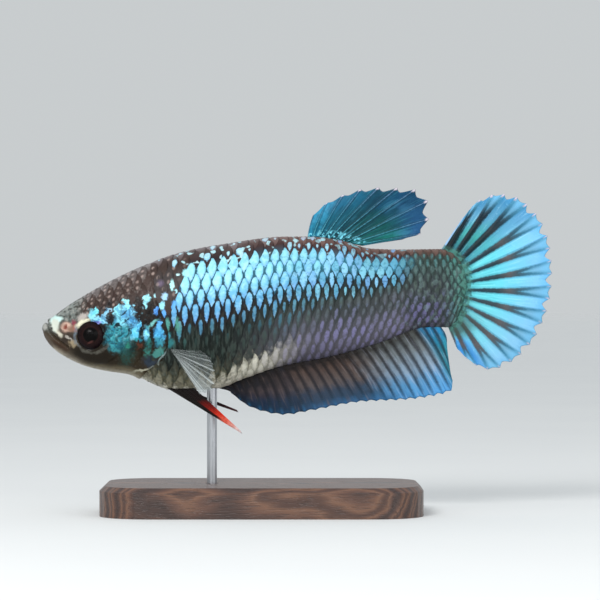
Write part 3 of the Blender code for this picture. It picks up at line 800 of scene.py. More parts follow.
class Scale:
    """What the scales' finish knows of each point: the fish's own x and height, the scale's chances, and
    the place on the scale, up and back from its middle."""

    def __init__(self, f):
        self.f = f
        self.place = f.place()
        self.x, self.t, chance = f.parts(f.attribute("lie"))
        self.luck = f.math("ABSOLUTE", chance)
        self.other = self.roll(17.3)
        across, along_fish, _ = f.parts(f.attribute("lens"))
        self.up = across * f.math("SIGN", chance)
        self.back = along_fish + (f.noise(self.place, 2.4, 2.0) - 0.5) * 0.16
        climb = f.step(self.x, -2.0, 11.0) * f.step(self.t, 0.36, 0.5) * f.step(self.t, 0.88, 0.72)
        self.unsure = self.t + (self.luck - 0.5) * 0.035 - climb * 0.15
        self.dull = f.math("MAXIMUM", f.step(self.unsure, 0.5, 0.4), f.step(self.x, 9.5, 11.5))
        low = f.step(self.t + f.step(self.x, 4.0, -3.0) * 0.14, 0.42, 0.34)
        self.lilac = f.step(self.x, -6.0, 1.0) * low * f.step(self.x, 14.6, 13.4)
        lowered = self.t - f.step(self.x, -9.0, -2.0) * 0.02
        self.crest = f.step(lowered, 0.885, 0.915) * f.step(self.x, 14.0, 8.0)
        self.glow = self.make_glow()
        self.outline = self.make_outline()

    def roll(self, factor):
        """Another chance from the scale's own, 0 to 1."""
        return self.f.math("FRACT", self.luck * factor)

    def make_glow(self):
        f = self.f
        glow = flank_glow(f, self.x, self.unsure) * (self.other * 0.25 + 0.87)
        glow = glow * (1.0 - f.step(self.roll(71.3), 0.5, 1.0) * f.step(self.x, -4.0, 4.0) * 0.22)
        return f.mix(self.crest, glow, f.step(self.luck, 0.45, 0.6) * (self.other * 0.5 + 0.3))

    def make_outline(self):
        """Below 1 in the bright middle, which is blunt above and drawn to a point below."""
        f, x, glow = self.f, self.x, self.glow
        crown_row = f.step(self.unsure, 0.77, 0.84) * f.step(self.unsure, 0.93, 0.91)
        crown_row = crown_row * f.step(x, 9.0, 5.0) * f.step(x, -12.0, -9.0)
        height = (f.step(glow, 0.25, 0.6) * 0.62 + 0.38) * (1.0 - self.lilac * 0.1)
        height = height * (1.0 - self.crest * 0.45)
        width = glow ** 1.3 * 0.38 + 0.04
        lean = self.up * f.step(x, -6.0, 1.0) * f.step(self.t, 0.54, 0.4) * 0.2
        reach = f.math("ABSOLUTE", self.back - 0.06 - lean) / (width + crown_row * 0.07)
        above = self.up / height / (f.step(glow, 0.8, 1.0) * 0.12 + 0.62)
        above = f.math("MAXIMUM", above, 0.0) * (1.0 - crown_row * 0.1)
        below = f.math("MAXIMUM", self.up / height / -0.76, 0.0)
        return f.math("MAXIMUM", reach ** 2.2 + above ** 2.8, reach + below ** 1.6)

    def lit(self):
        """1 in the bright middle and 0 on the net, with a ragged edge and worn places."""
        f = self.f
        soft = 0.42 - self.glow * 0.3 + self.dull * 0.4
        rim = self.outline + (f.noise(self.place, 4.5, 3.0) - 0.5) * (self.dull * 0.6 + 0.9)
        flaw = f.step(f.noise(self.place, 2.8, 3.0), 0.5, 0.66) * (f.step(self.x, -8.0, 6.0) * 0.4 + 0.12)
        return f.step((rim - 1.0) / soft, 1.0, -1.0) * (1.0 - flaw)


def scale_shine(f, s, ragged):
    """The bright middle's colour, which varies from scale to scale."""
    keen = 1.0 - s.dull
    blue = f.step(s.up, -0.05, -0.6) * f.step(s.t, 0.4, 0.5) * f.step(s.x, 12.0, 0.0)
    mixed = f.step(s.x, -4.0, 5.0) * keen
    glitter = f.step(f.noise(s.place, 2.2, 3.0), 0.4, 0.7) * (s.other * 0.5 + 0.5) * f.step(s.x, 10.0, -4.0)
    return f.lay(
        flank_shine(f, s.x, ragged),
        (blue * 0.5, "#7ea4e4"),
        (f.step(s.outline, 0.4, 1.0) * keen * 0.5, "#4488ac"),
        (f.step(s.other, 0.3, 1.0) * keen * 0.2, "#4c9ccc"),
        (f.step(s.roll(37.1), 0.5, 0.9) * mixed * 0.4, "#7c9cdc"),
        (f.step(s.roll(53.9), 0.5, 0.9) * mixed * 0.4, "#94d8e4"),
        (glitter * 0.3 * keen, "#b8ecf0", "SCREEN"),
        (s.lilac * f.step(s.luck, 0.3, 1.0) * 0.5, "#8884ba"))


def scale_ground(f, s, ragged):
    """The dark net's colour, darkest along the scale's free edge and streaked low on the flank."""
    edge = f.step(s.back, 0.3, 0.47) * (1.0 - f.step(s.glow, 0.7, 1.0) * 0.85) * (0.5 - s.lilac * 0.3)
    streak = f.step(f.noise(f.stretched(s.place, (3.2, 3.2, 0.55)), 1.3, 2.0), 0.42, 0.66)
    return f.lay(
        flank_ground(f, s.x, ragged),
        (edge, "#0a0809"),
        (streak * f.step(s.t, 0.5, 0.4) * 0.5 * (1.0 - s.lilac), "#404b46"))


def make_scale_finish():
    f = Finish("fish_scales", {
        "Roughness": 0.46, "Metallic": 0.1, "Specular IOR Level": 0.1, "Coat Roughness": 0.2})
    s = Scale(f)
    x, t, lit = s.x, s.t, s.lit()
    mottle = f.noise(f.stretched(s.place, (1.0, 1.0, 0.6)), 1.9, 3.0)
    ragged = s.unsure + s.up * 0.04 + (mottle - 0.5) * f.step(t, 0.4, 0.2) * 0.16
    hushed = f.step(t, 0.26, 0.16) * f.step(x, -3.0, -8.0)
    shown = lit * f.step(s.glow, 0.13, 0.28) * (1.0 - s.dull * 0.3) * (1.0 - hushed * 0.4)
    wrist = f.step(x, 9.0, 12.0) * f.step(t, 0.96, 0.86)
    fleck = f.step(f.noise(s.place, 1.55, 0.5), 0.6, 0.67) * s.crest * f.step(x, -12.5, -11.0)
    flank = f.lay(
        scale_ground(f, s, ragged),
        (shown, scale_shine(f, s, ragged)),
        (f.step(mottle, 0.5, 0.36) * f.step(t, 0.26, 0.12) * f.step(x, -4.0, -9.0) * 0.6, "#24231c"),
        (f.step(mottle, 0.47, 0.36) * wrist * 0.55, "#26302c"),
        (f.step(mottle, 0.54, 0.66) * wrist * 0.26, "#76908e"),
        (fleck * 0.75, f.mix(f.step(x, -2.0, 8.0), "#b4e0e8", "#84b4c0")))
    head = f.mix(f.step(s.back, 0.2, 0.48) * 0.28, head_colour(f, s.place, x, t), "#120d0b")

    # two pale dots on some scales of the crown and nape
    pair = f.math("ABSOLUTE", s.up + 0.14) - 0.28
    spot = f.math("SQRT", (s.back / DOT_SIZE) ** 2.0 + (pair / DOT_SIZE) ** 2.0)
    dot = f.step(spot, 1.5, 0.3) * f.step(s.other, 0.15, 0.5)
    crown = f.step(t, 0.68, 0.8) * f.step(x, -10.0, -12.5)
    kin = f.parts(f.attribute("kin"))[0]
    pale = (s.other * 0.4 + 0.14) * (1.0 - lit * (1.0 - kin))
    colour = f.lay(lay_nape_marks(f, flank, s.place), (kin, head), (dot * crown * pale, "#b9a59c"))
    f.feed(Base_Color=colour, Coat_Weight=lit * 0.12 + 0.02,
           Normal=f.relief(f.noise(f.stretched(s.place, (1.0, 1.0, 3.0)), 5.0, 3.0), SCALE_GRAIN))
    return f.material


def make_eye_finish():
    f = Finish("fish_eye", {
        "Roughness": 0.3, "Specular IOR Level": 0.05, "Coat Weight": 0.05, "Coat Roughness": 0.03})
    place = f.place()
    from_pupil = f.beside(place, EYE_AT[0] - 0.08, EYE_AT[2] + 0.05)
    far = f.length(from_pupil)
    forward, _, rise = f.parts(from_pupil)
    spun = f.node("CombineXYZ", {}, {0: f.math("ARCTAN2", rise, forward) * 6.0, 1: far * 1.2})
    streaks = f.node("TexNoise", {"noise_dimensions": "2D"}, {"Vector": spun, "Scale": 2.0, "Detail": 3.0})
    iris = f.ramp(
        far / EYE_RADIUS, (0.0, "#020202"), (0.44, "#040303"), (0.5, "#20100e"), (0.58, "#180c0c"),
        (0.74, "#140a0c"), (0.86, "#0c0a0c"), (0.92, "#22262a"), (1.0, "#121416"))
    glint = f.blob(place, -20.45, 17.12, 0.3, 0.1, -25, 0.5)
    colour = f.lay(
        iris,
        (f.step(far, 0.7, 0.85) * f.step(streaks, 0.5, 0.7) * 0.3, "#301818"),
        (glint * 0.5, "#5c3834"))
    f.feed(Base_Color=colour, Normal=f.relief(streaks, EYE_GRAIN))
    return f.material


# ---------------------------------------------------------------- skin
def skin_stations():
    """Where the skin has its rings, which are close on the head and where the stalk rounds off."""
    head = FIRST + 0.015 + 13.4 * np.linspace(0.0, 1.0, HEAD_RINGS) ** 1.06
    flank = np.linspace(-11.85, STALK_TURN, FLANK_RINGS)[:-1]
    end = STALK_TURN + 0.79 * (1 - (1 - np.linspace(0, 1, END_RINGS)) ** 2)
    return np.unique(np.round(np.concatenate([head, flank, end]), 4))


def skin_map(skin, rings):
    """The skin unwrapped: along the fish across the map, and round it from the back up the map."""
    ringed = rings * SKIN_ROUND
    unwrap = np.empty((ringed + 2, 2))
    unwrap[:-2, 0] = np.repeat((np.arange(rings) + 1) / (rings + 1), SKIN_ROUND)
    unwrap[:-2, 1] = np.tile(np.arange(SKIN_ROUND) / SKIN_ROUND, rings)
    unwrap[-2], unwrap[-1] = (0, 0.5), (1, 0.5)
    corners = corner_points(skin)
    uv = unwrap[corners]
    sizes = [face.loop_total for face in skin.data.polygons]
    owner = np.repeat(np.arange(len(sizes)), sizes)
    highest = np.zeros(len(sizes))
    np.maximum.at(highest, owner, np.where(corners < ringed, uv[:, 1], 0))
    wraps = (highest[owner] > 0.9) & (uv[:, 1] < 0.1)
    uv[wraps, 1] += 1
    at_tip = corners >= ringed
    uv[at_tip, 1] = highest[owner[at_tip]]
    uv[:, 1] /= 1.0 + 1.0 / SKIN_ROUND
    return np.clip(uv, 0, 1)


def make_skin(finish):
    stations = skin_stations()
    grid, outward = surface(stations, np.arange(SKIN_ROUND) / SKIN_ROUND)
    x, z = grid[..., 0], grid[..., 2]
    relief = -BARE_COAT - (COAT - BARE_COAT) * scaled_share(x, z) + gill_sink(x, z)
    relief += head_relief(x, z) * smooth(x, -12.0, -13.0)
    points = grid + outward * (relief * smooth(x, LAST, LAST - 0.8))[..., None]
    tips = [[FIRST, 0, 18.45], [LAST, 0, 22.75]]
    faces = closed_faces(len(stations), SKIN_ROUND)
    skin = new_mesh("skin", np.vstack([points.reshape(-1, 3), tips]), faces)
    lie = as_vectors(x, np.clip(height_share(x, z), 0, 1), 0)
    store(skin, "lie", np.vstack([lie, [[FIRST, 0.5, 0], [LAST, 0.5, 0]]]))
    kin = as_vectors(smooth(behind_gill(x, z), 0.06, -0.06), 0, 0)
    store(skin, "kin", np.vstack([kin, [[1, 0, 0], [0, 0, 0]]]))
    store_map(skin, "OFBake", skin_map(skin, len(stations)))
    face_outwards(skin)
    bodies = ("head", "lower_jaw", "gill_cover_left", "gill_cover_right", "trunk", "tail_stalk")
    dress(skin, finish, bodies)


# ---------------------------------------------------------------- scales
def make_body_map():
    """A plain copy of the body's surface that the scales are laid on."""
    stations = np.linspace(FIRST + 0.1, LAST - 0.05, MAP_STATIONS)
    shares = np.linspace(-SHARE_OVERLAP, 1 + SHARE_OVERLAP, MAP_ROUND)
    grid, outward = surface(stations, shares)
    points = grid + outward * gill_sink(grid[..., 0], grid[..., 2])[..., None]
    body = new_mesh("body_map", points.reshape(-1, 3), grid_faces(*grid.shape[:2]))
    store(body, "outward", outward.reshape(-1, 3))
    unwrap = np.stack(np.broadcast_arrays(
        ((stations - FIRST) / (LAST - FIRST))[:, None],
        ((shares + SHARE_OVERLAP) / (1 + 2 * SHARE_OVERLAP))[None, :]), axis=-1).reshape(-1, 2)
    store_map(body, "Unwrap", unwrap[corner_points(body)])
    return body


def scale_map(shape, points, top_count):
    """One scale's own patch of the map: top in the middle, rim round that, underside in a corner."""
    spread = (points[:, :2] - [-0.45, 0]) / [0.95, 1.0]
    flat = 0.5 + spread * 0.38
    flat[top_count:] = 0.5 + spread[top_count:] * 0.46
    corners = corner_points(shape)
    patch = flat[corners]
    bottom = [face for face in shape.data.polygons if face.loop_total > 4][0]
    under = slice(bottom.loop_start, bottom.loop_start + bottom.loop_total)
    patch[under] = 0.05 + spread[corners[under]] * 0.03
    return patch


def make_scale_shape():
    """One scale, laid flat: x along the fish in pitches, y across in rows, z in millimetres outward."""
    across = np.array([-1.0, -0.74, -0.38, 0.0, 0.38, 0.74, 1.0])[None, :]
    down = np.array([0.0, 0.35, 0.62, 0.82, 0.94, 1.0])[:, None]
    rear = 0.5 - 0.5 * np.abs(across) ** 1.9
    root = SCALE_ROOT + 0.25 * across ** 2
    length = root + down * (rear - root)
    width = across * (1 - 0.12 * (1 - down))
    lift = -0.165 + 0.155 * (length - SCALE_ROOT) / 1.9 - 0.03 * across ** 2 - 0.02 * (down > 0.97)
    top = as_vectors(length, width, lift)
    rows, columns = length.shape
    rim = list(range(columns)) + [r * columns + columns - 1 for r in range(1, rows)]
    rim += [(rows - 1) * columns + c for c in range(columns - 2, -1, -1)]
    rim += [r * columns for r in range(rows - 2, 0, -1)]
    points = np.vstack([top, top[rim] - [0, 0, SCALE_THICKNESS]])
    base, count = len(top), len(rim)
    faces = grid_faces(rows, columns)
    faces += [(rim[k], base + k, base + (k + 1) % count, rim[(k + 1) % count]) for k in range(count)]
    faces.append(tuple(base + k for k in reversed(range(count))))
    shape = new_mesh("scale_shape", points / MM, faces)
    face_outwards(shape)
    shape.data.flip_normals()  # laying the plan on the body turns it over
    shape.data.set_sharp_from_angle(angle=math.radians(50))
    store(shape, "lens", as_vectors(points[:, 1], points[:, 0], 0))
    store_map(shape, "OFBake", scale_map(shape, points, base))
    return shape


def make_coat_tree():
    """Geometry nodes that lay scales on the body: the plan's points are (x, girth share, 0) in plan units."""
    group = bpy.data.node_groups.new("scale_coat", "GeometryNodeTree")
    group.is_modifier = True
    kinds = {"Plan": "Geometry", "Body": "Object", "Scale Shape": "Object", "Finish": "Material",
             "First X": "Float", "Length": "Float", "Overlap": "Float"}
    sockets = {
        name: group.interface.new_socket(name, in_out="INPUT", socket_type=f"NodeSocket{kind}").identifier
        for name, kind in kinds.items()}
    group.interface.new_socket("Coat", in_out="OUTPUT", socket_type="NodeSocketGeometry")
    tree = Tree(group)

    def node(kind, sockets, output=0, **settings):
        return tree.node("GeometryNode" + kind, settings, sockets, output)

    def named(name):
        return node("InputNamedAttribute", {"Name": name}, data_type="FLOAT_VECTOR")

    given = {name: tree.node("NodeGroupInput", {}, {}, name) for name in kinds}
    shape = node("ObjectInfo", {"Object": given["Scale Shape"]}, "Geometry")
    body = node("ObjectInfo", {"Object": given["Body"]}, "Geometry")
    spread = node("InstanceOnPoints", {"Points": given["Plan"], "Instance": shape, "Scale": named("size")})
    real = node("RealizeInstances", {0: spread})

    x, share, lift = tree.parts(node("InputPosition", {}))
    lengthwise = (x - given["First X"]) / given["Length"]
    around = (share + given["Overlap"]) / (given["Overlap"] * 2.0 + 1.0)
    spot_on_map = tree.node("CombineXYZ", {}, {0: lengthwise, 1: around})

    def sampled(value):
        return node("SampleUVSurface", {
            "Mesh": body, "Value": value, "UV Map": named("Unwrap"), "Sample UV": spot_on_map,
        }, data_type="FLOAT_VECTOR")

    raised = tree.vector("SCALE", {0: sampled(named("outward")), 3: lift * MM})
    place = tree.vector("ADD", {0: sampled(node("InputPosition", {})), 1: raised})
    laid = node("SetPosition", {"Geometry": real, "Position": place})
    own_patch = tree.vector("MULTIPLY", {0: named("OFBake"), 1: named("patch_size")})
    patch = tree.vector("ADD", {0: named("patch_corner"), 1: own_patch})
    mapped = node("StoreNamedAttribute", {"Geometry": laid, "Name": "OFBake", "Value": patch},
                  data_type="FLOAT2", domain="CORNER")
    finished = node("SetMaterial", {"Geometry": mapped, "Material": given["Finish"]})
    tree.join(tree.nodes.new("NodeGroupOutput").inputs[0], finished)
    return group, sockets


def scale_plan(side):
    """Where the scales of one side lie, and what the finish needs to know of each: a row for each scale."""
    fine = np.linspace(-23.5, LAST, 1200)
    counted = np.concatenate(([0], np.cumsum(np.diff(fine) / pitch_at((fine[1:] + fine[:-1]) / 2))))
    counted -= np.interp(SCALE_PHASE_X, fine, counted)
    first, last = math.ceil(counted[0]), math.floor(counted[-1])
    cells = last - first + 1.5
    half = SCALE_ROWS // 2
    chance = np.random.default_rng(7 if side < 0 else 8)
    plan = []
    for row in range(half) if side < 0 else range(half, SCALE_ROWS):
        share = (row + 0.5) / SCALE_ROWS
        row_up_the_map = row if side < 0 else SCALE_ROWS - 1 - row
        for column in np.arange(first, last + 1) + 0.5 * (row % 2):
            x = np.interp(column, counted, fine) + chance.normal(0, SCALE_SHIFT)
            roll = chance.uniform(0.02, 1.0)
            if x > LAST_SCALE_X:
                continue
            z = section(np.array(x), girth_turns(np.array([x]), np.array([share]))[0, 0])[2]
            back = float(behind_gill(np.array(x), z))
            if scaled_share(np.array(x), z) < 0.5 or -0.5 < back < 0.02:
                continue
            length = pitch_at(x) * chance.uniform(*SCALE_SIZES)
            plan.append((x, share, length, height_share(x, z), side * roll, (column - first) / cells,
                         row_up_the_map / half, 1 / cells, back < 0))
    return np.array(plan, float)


def make_scales(name, side, body, shape, group, sockets, finish):
    x, share, pitch, height, chance, patch_x, patch_y, patch_length, on_head = scale_plan(side).T
    piece = new_mesh(name + "_plan", as_vectors(x, share, 0) / MM, [])
    store(piece, "size", as_vectors(pitch, 1 / SCALE_ROWS, 1))
    store(piece, "lie", as_vectors(x, height, chance))
    store(piece, "kin", as_vectors(on_head, 0, 0))
    store(piece, "patch_corner", as_vectors(patch_x, patch_y, 0))
    store(piece, "patch_size", as_vectors(patch_length, 2 / SCALE_ROWS, 0))
    coat = piece.modifiers.new("coat", "NODES")
    coat.node_group = group
    for key, value in (("Body", body), ("Scale Shape", shape), ("Finish", finish), ("First X", FIRST),
                       ("Length", LAST - FIRST), ("Overlap", SHARE_OVERLAP)):
        coat[sockets[key]] = value
    bpy.context.view_layer.update()
    evaluated = piece.evaluated_get(bpy.context.evaluated_depsgraph_get())
    made = add_object(name, bpy.data.meshes.new_from_object(evaluated))
    piece.modifiers.remove(coat)
    bpy.data.objects.remove(piece)
    dress(made, finish)


def make_coat(finish):
    body, shape = make_body_map(), make_scale_shape()
    group, sockets = make_coat_tree()
    make_scales("scales_left", -1, body, shape, group, sockets, finish)
    make_scales("scales_right", 1, body, shape, group, sockets, finish)
    bpy.data.objects.remove(body)
    bpy.data.objects.remove(shape)


# ---------------------------------------------------------------- eyes
def make_eye(word, side, finish):
    """A flattened ball with a pupil that stands a little proud of a dished iris."""
    rings, segments = 40, 64
    tilt = np.linspace(0, math.pi, rings + 1)[1:-1][:, None]
    turn = (2 * math.pi * np.arange(segments) / segments)[None, :]
    way = as_vectors(np.sin(tilt) * np.cos(turn), side * np.cos(tilt), np.sin(tilt) * np.sin(turn))
    r = EYE_RADIUS * np.hypot(way[:, 0] + 0.15, way[:, 2] - 0.05)
    dish = np.where(way[:, 1] * side > 0, -0.05 * bump(r - 0.85, 0.3) - 0.03 * smooth(r, 0.6, 0.7), 0)
    radii = np.array([EYE_RADIUS, EYE_DEPTH, EYE_RADIUS]) - 0.01
    centre = np.array([EYE_AT[0], side * EYE_AT[1], EYE_AT[2]])
    points = centre + way * radii * (1 + dish[:, None] / EYE_DEPTH)
    poles = centre + np.array([[0, side * radii[1], 0], [0, -side * radii[1], 0]])
    eye = new_mesh(f"eyeball_{word}", np.vstack([points, poles]), closed_faces(rings - 1, segments))
    face_outwards(eye)
    dress(eye, finish, (f"eye_{word}",))


# ---------------------------------------------------------------- fins
def body_edge(line, low, high, shift):
    x = np.linspace(low, high, 60)
    return np.stack([x, line(x) + shift], axis=-1)


def wave(height, turns, lag=0.0):
    return lambda u, v: height * v * v * np.sin(2 * math.pi * (turns * u + lag))


def ray_shares(tips, forked, v, split_at):
    """For each ray, its root's share across the fin and the shares that it follows towards its tip."""
    last = tips - 1
    if forked:
        ends = [(0.0, 0.0), (1.0, 1.0)]
        for i in range((tips - 2) // 2):
            middle = (2 * i + 1.5) / last
            ends += [(middle, (2 * i + 1) / last), (middle, (2 * i + 2) / last)]
    else:
        ends = [(k / last, k / last) for k in range(tips)]
    past = np.where(v > split_at, (v - split_at) / (1 - split_at), 0) ** 0.8
    return [(start, end != start, start + (end - start) * past) for start, end in ends]


def fin_map(flat):
    """The two faces of a fin side by side, or one over the other if the fin is long."""
    low, high = flat.reshape(-1, 2).min(0), flat.reshape(-1, 2).max(0)
    plain = 0.005 + ((flat - low) / (high - low)).reshape(-1, 2) * 0.99
    size, shift = ([0.49, 1.0], [0.51, 0]) if np.diff(high - low)[0] > 0 else ([1.0, 0.49], [0, 0.51])
    return np.vstack([plain * size, plain * size + shift])


def fan(name, base, margin, tips, finish, notches, out, replaced, buried, rows=40, per_tip=8, sweep=0.0,
        tip_share=None, forked=False, ray=(0.13, 0.06), web=0.06, ridge=0.10, split_at=0.5):
    """A fin: rays that stand proud of a thin web, with the web dipping between their tips.

    u runs across the rays and v from root to margin. The two faces meet along the whole edge. ray is the
    rays' half width at root and tip, web the web's half thickness, ridge how far the rays stand proud,
    buried how far the root goes into the body, and out the distance from the middle plane.
    """
    columns = (tips - 1) * per_tip + 1
    c = np.arange(columns)
    u = c / (columns - 1)
    phase = (c % per_tip) / per_tip
    dip = np.array(notches)[c // per_tip % len(notches)] * (1 - np.abs(1 - 2 * phase) ** 1.5)
    root, tip = along(base, u), along(margin, tip_share(u) if tip_share else u)
    reach = np.linalg.norm(tip - root, axis=1)
    v = np.linspace(0, 1, rows)[None, :] * (1 - dip)[:, None]
    v = np.concatenate([np.stack([-buried / reach, -buried / 2 / reach], axis=1), v], axis=1)
    flat = root[:, None] + (tip - root)[:, None] * v[..., None]
    flat[..., 0] += sweep * 4 * v * (1 - v)
    uu = np.repeat(u[:, None], v.shape[1], axis=1)
    shown = np.clip(v, 0, 1)
    y = out(uu, np.maximum(v, 0)) + 0 * v

    # how near each point is to a ray's middle line, and whether it lies between a ray's two branches
    across = np.linalg.norm(np.gradient(flat, axis=0), axis=2) * (columns - 1)
    nearest = np.full(v.shape, 1e9)
    between = np.zeros(v.shape)
    parting = smooth(v, split_at, 1.0)
    for start, branch, line in ray_shares(tips, forked, v, split_at):
        nearest = np.minimum(nearest, np.abs(uu - line) * across)
        if branch:
            inside = (uu >= np.minimum(start, line)) & (uu <= np.maximum(start, line))
            between = np.maximum(between, inside * parting)
    bone = bump(nearest, ray[0] + (ray[1] - ray[0]) * shown)

    # thickness, which falls to nothing along the edge
    edge = np.minimum(np.minimum(uu, 1 - uu) * across, (v[:, -1:] - v) * reach[:, None])
    taper = np.sqrt(np.clip(edge / FIN_TAPER, 0, 1))
    half = (web * (1 - 0.4 * shown) + ridge * bone * (1 - 0.65 * shown)) * taper
    half[:, 0] = 0
    sheets = [as_vectors(flat[..., 0], y + side * half, flat[..., 1]) for side in (-1, 1)]
    faces = grid_faces(columns, v.shape[1])
    faces += [tuple(v.size + k for k in reversed(face)) for face in faces]
    piece = new_mesh(name, np.vstack(sheets), faces)
    chance = np.random.default_rng(len(name) * 31 + tips)
    luck = chance.uniform(0, 1, tips)[np.minimum((uu * (tips - 1)).astype(int), tips - 1)]
    store(piece, "ray", np.tile(as_vectors(np.minimum(nearest, 2), v, uu), (2, 1)))
    store(piece, "web", np.tile(as_vectors(between, luck, np.clip(edge / FIN_RIM, 0, 1)), (2, 1)))
    store_map(piece, "OFBake", fin_map(flat)[corner_points(piece)])
    face_outwards(piece, merge=2e-7)
    dress(piece, finish, (replaced,))


class Web:
    """What a fin's finish knows of each point: the nearest ray, the way along it and the web between rays."""

    def __init__(self, f):
        self.f = f
        self.place = f.place()
        self.ray, self.v, self.u = f.parts(f.attribute("ray"))
        self.between, self.luck, self.rim = f.parts(f.attribute("web"))
        self.cloud = f.noise(self.place, 1.3, 3.0) - 0.5
        self.grain = f.noise(self.place, 4.5, 3.0) - 0.5
        self.fibre = self.strands(110.0, 2.5)

    def strands(self, count, run, detail=3.0):
        """Noise drawn out along the rays."""
        spun = self.f.node("CombineXYZ", {}, {0: self.u * count, 1: self.v * run})
        return self.f.noise(spun, 1.0, detail) - 0.5

    def fibres(self, pale, pale_share, dark, dark_share, start=0.05):
        """Two coats: pale fibres and dark ones."""
        return ((self.f.step(self.fibre, start, 0.25) * pale_share, pale),
                (self.f.step(self.fibre, -0.05, -0.22) * dark_share, dark))

    def stripe(self, width, soft):
        """1 on a ray and 0 on the web, with a ragged edge."""
        return self.f.step(self.ray + self.grain * 0.16 + self.fibre * 0.1, width + soft, width - soft)


def fin_finish(name, colour_of, alpha_of=None):
    f = Finish(name, {
        "Roughness": 0.5, "Specular IOR Level": 0.1, "Coat Roughness": 0.2, "Coat Weight": 0.02})
    web = Web(f)
    f.feed(Base_Color=colour_of(f, web))
    if alpha_of:
        f.feed(Alpha=alpha_of(f, web))
    else:
        joints = f.math("SINE", web.v * 150.0) * f.step(web.ray, 0.2, 0.05)
        f.feed(Normal=f.relief(joints * 0.4 + web.grain, WEB_GRAIN))
    return f.material


def tail_colour(f, web):
    u, v = web.u, web.v
    far = v + web.cloud * 0.16
    high = f.step(u, 0.36, 0.18)
    band = f.ramp(
        far, (0.0, "#54b0b4"), (0.1, "#64ccd4"), (0.3, "#60c8d4"), (0.55, "#6cc0dc"), (0.8, "#78b8e0"),
        (1.0, "#58a4d8"))
    upper = f.ramp(
        far, (0.0, "#1c4a50"), (0.3, "#349088"), (0.6, "#4c88a8"), (0.85, "#3478a0"), (1.0, "#3c88b8"))
    lower_edge = f.ramp(far, (0.3, "#4c94cc"), (0.7, "#3078b8"), (1.0, "#4088c4"))
    fill = f.ramp(v, (0.42, "#403c3c"), (0.55, "#68666c"), (0.68, "#6c94a8"), (0.9, "#68a8cc"))
    width = f.ramp(
        v, (0.0, 0.15), (0.25, 0.24), (0.45, 0.28), (0.55, 0.21), (0.8, 0.12), (0.95, 0.07), (1.0, 0.03))
    width = width + high * 0.09
    ray = f.ramp(
        v, (0.0, "#1c2c32"), (0.12, "#1a222e"), (0.34, "#24282e"), (0.48, "#4e4644"), (0.58, "#34464e"),
        (0.75, "#306880"), (0.93, "#4484a4"), (0.97, "#c8b4c0"), (1.0, "#e8d0d8"))
    ray = f.lay(
        ray,
        (f.step(u, 0.5, 0.8) * f.step(v, 0.8, 0.5) * 0.6, "#544c4a"),
        (high * f.step(v, 0.9, 0.6) * 0.95, "#060a10"))
    gap = f.step(u, 0.012, 0.024) * f.step(u, 0.062, 0.05) * f.step(v, 0.75, 0.45)
    foot = f.step(v + web.grain * 0.14, 0.04, -0.02)
    return f.lay(
        band,
        (high * 0.9, upper),
        *web.fibres("#b4e8f4", 0.3, "#2c7088", 0.35),
        (f.step(u, 0.55, 0.75) * 0.3, "#80a8b8"),
        (f.step(u, 0.84, 0.92) * f.step(v, 0.15, 0.45), lower_edge),
        (f.step(web.luck, 0.4, 1.0) * 0.25, "#2f6c94"),
        (f.step(web.grain, 0.1, 0.22) * 0.18, "#a0dcec"),
        (web.between * 0.9, fill),
        (f.step(web.ray, width + 0.34, width) * 0.4, "#2c6c88"),
        (web.stripe(width, 0.1) * 0.94, ray),
        (f.step(u, 0.68, 0.88) * f.step(v + web.cloud * 0.2, 0.4, 0.1) * 0.8, "#34443c"),
        (gap * 0.92, "#10161a"),
        (f.step(u, 0.022, 0.010) * 0.9, "#94bce4"),
        (foot * 0.8, stalk_marbling(f, web.place)),
        (f.step(web.rim, 0.35, 0.0) * 0.4, "#a8c8dc"))


def dorsal_colour(f, web):
    u, v = web.u + web.cloud * 0.22, web.v + web.cloud * 0.3
    high = f.ramp(
        u, (0.0, "#10688c"), (0.28, "#0e6080"), (0.45, "#084458"), (0.62, "#0e4060"), (0.85, "#204e78"),
        (1.0, "#50789c"))
    low = f.ramp(
        u, (0.0, "#106c88"), (0.35, "#084c5c"), (0.5, "#06383e"), (0.75, "#0a4e4c"), (0.9, "#126660"),
        (1.0, "#246a84"))
    blotch = web.strands(15.0, 2.2, 2.0) + 0.5
    front = f.step(web.u, 0.24, 0.1) * f.step(web.cloud, -0.1, 0.1)
    spots = f.step(f.noise(web.place, 3.0), 0.5, 0.6) * f.step(web.v, 0.11, 0.04) * f.step(u, 0.95, 0.8)
    ray = f.ramp(web.v, (0.0, "#4c9caa"), (0.5, "#3a7c94"), (0.93, "#5c80a4"), (1.0, "#dcccd4"))
    return f.lay(
        low,
        (f.step(v - f.step(u, 0.6, 1.0) * 0.15, 0.35, 0.75), high),
        (f.step(web.luck, 0.3, 1.0) * 0.3, "#0a2838"),
        (f.step(blotch, 0.5, 0.36) * 0.4, "#0a2c3c"),
        (f.step(blotch, 0.56, 0.72) * 0.28, "#4488a8"),
        *web.fibres("#4c9cac", 0.3, "#082430", 0.4),
        (front * 0.6, "#3494b8"),
        (spots * 0.9, "#78d4e8"),
        (f.step(web.ray, 0.26, 0.14) * 0.4, "#0e2838"),
        (web.stripe(0.05, 0.05) * 0.7, ray),
        (f.step(web.v, 0.93, 0.97) * f.step(web.ray, 0.26, 0.1) * 0.8, "#d4c8d0"),
        (f.step(web.rim, 0.3, 0.0) * 0.35, "#a8b0c8"))


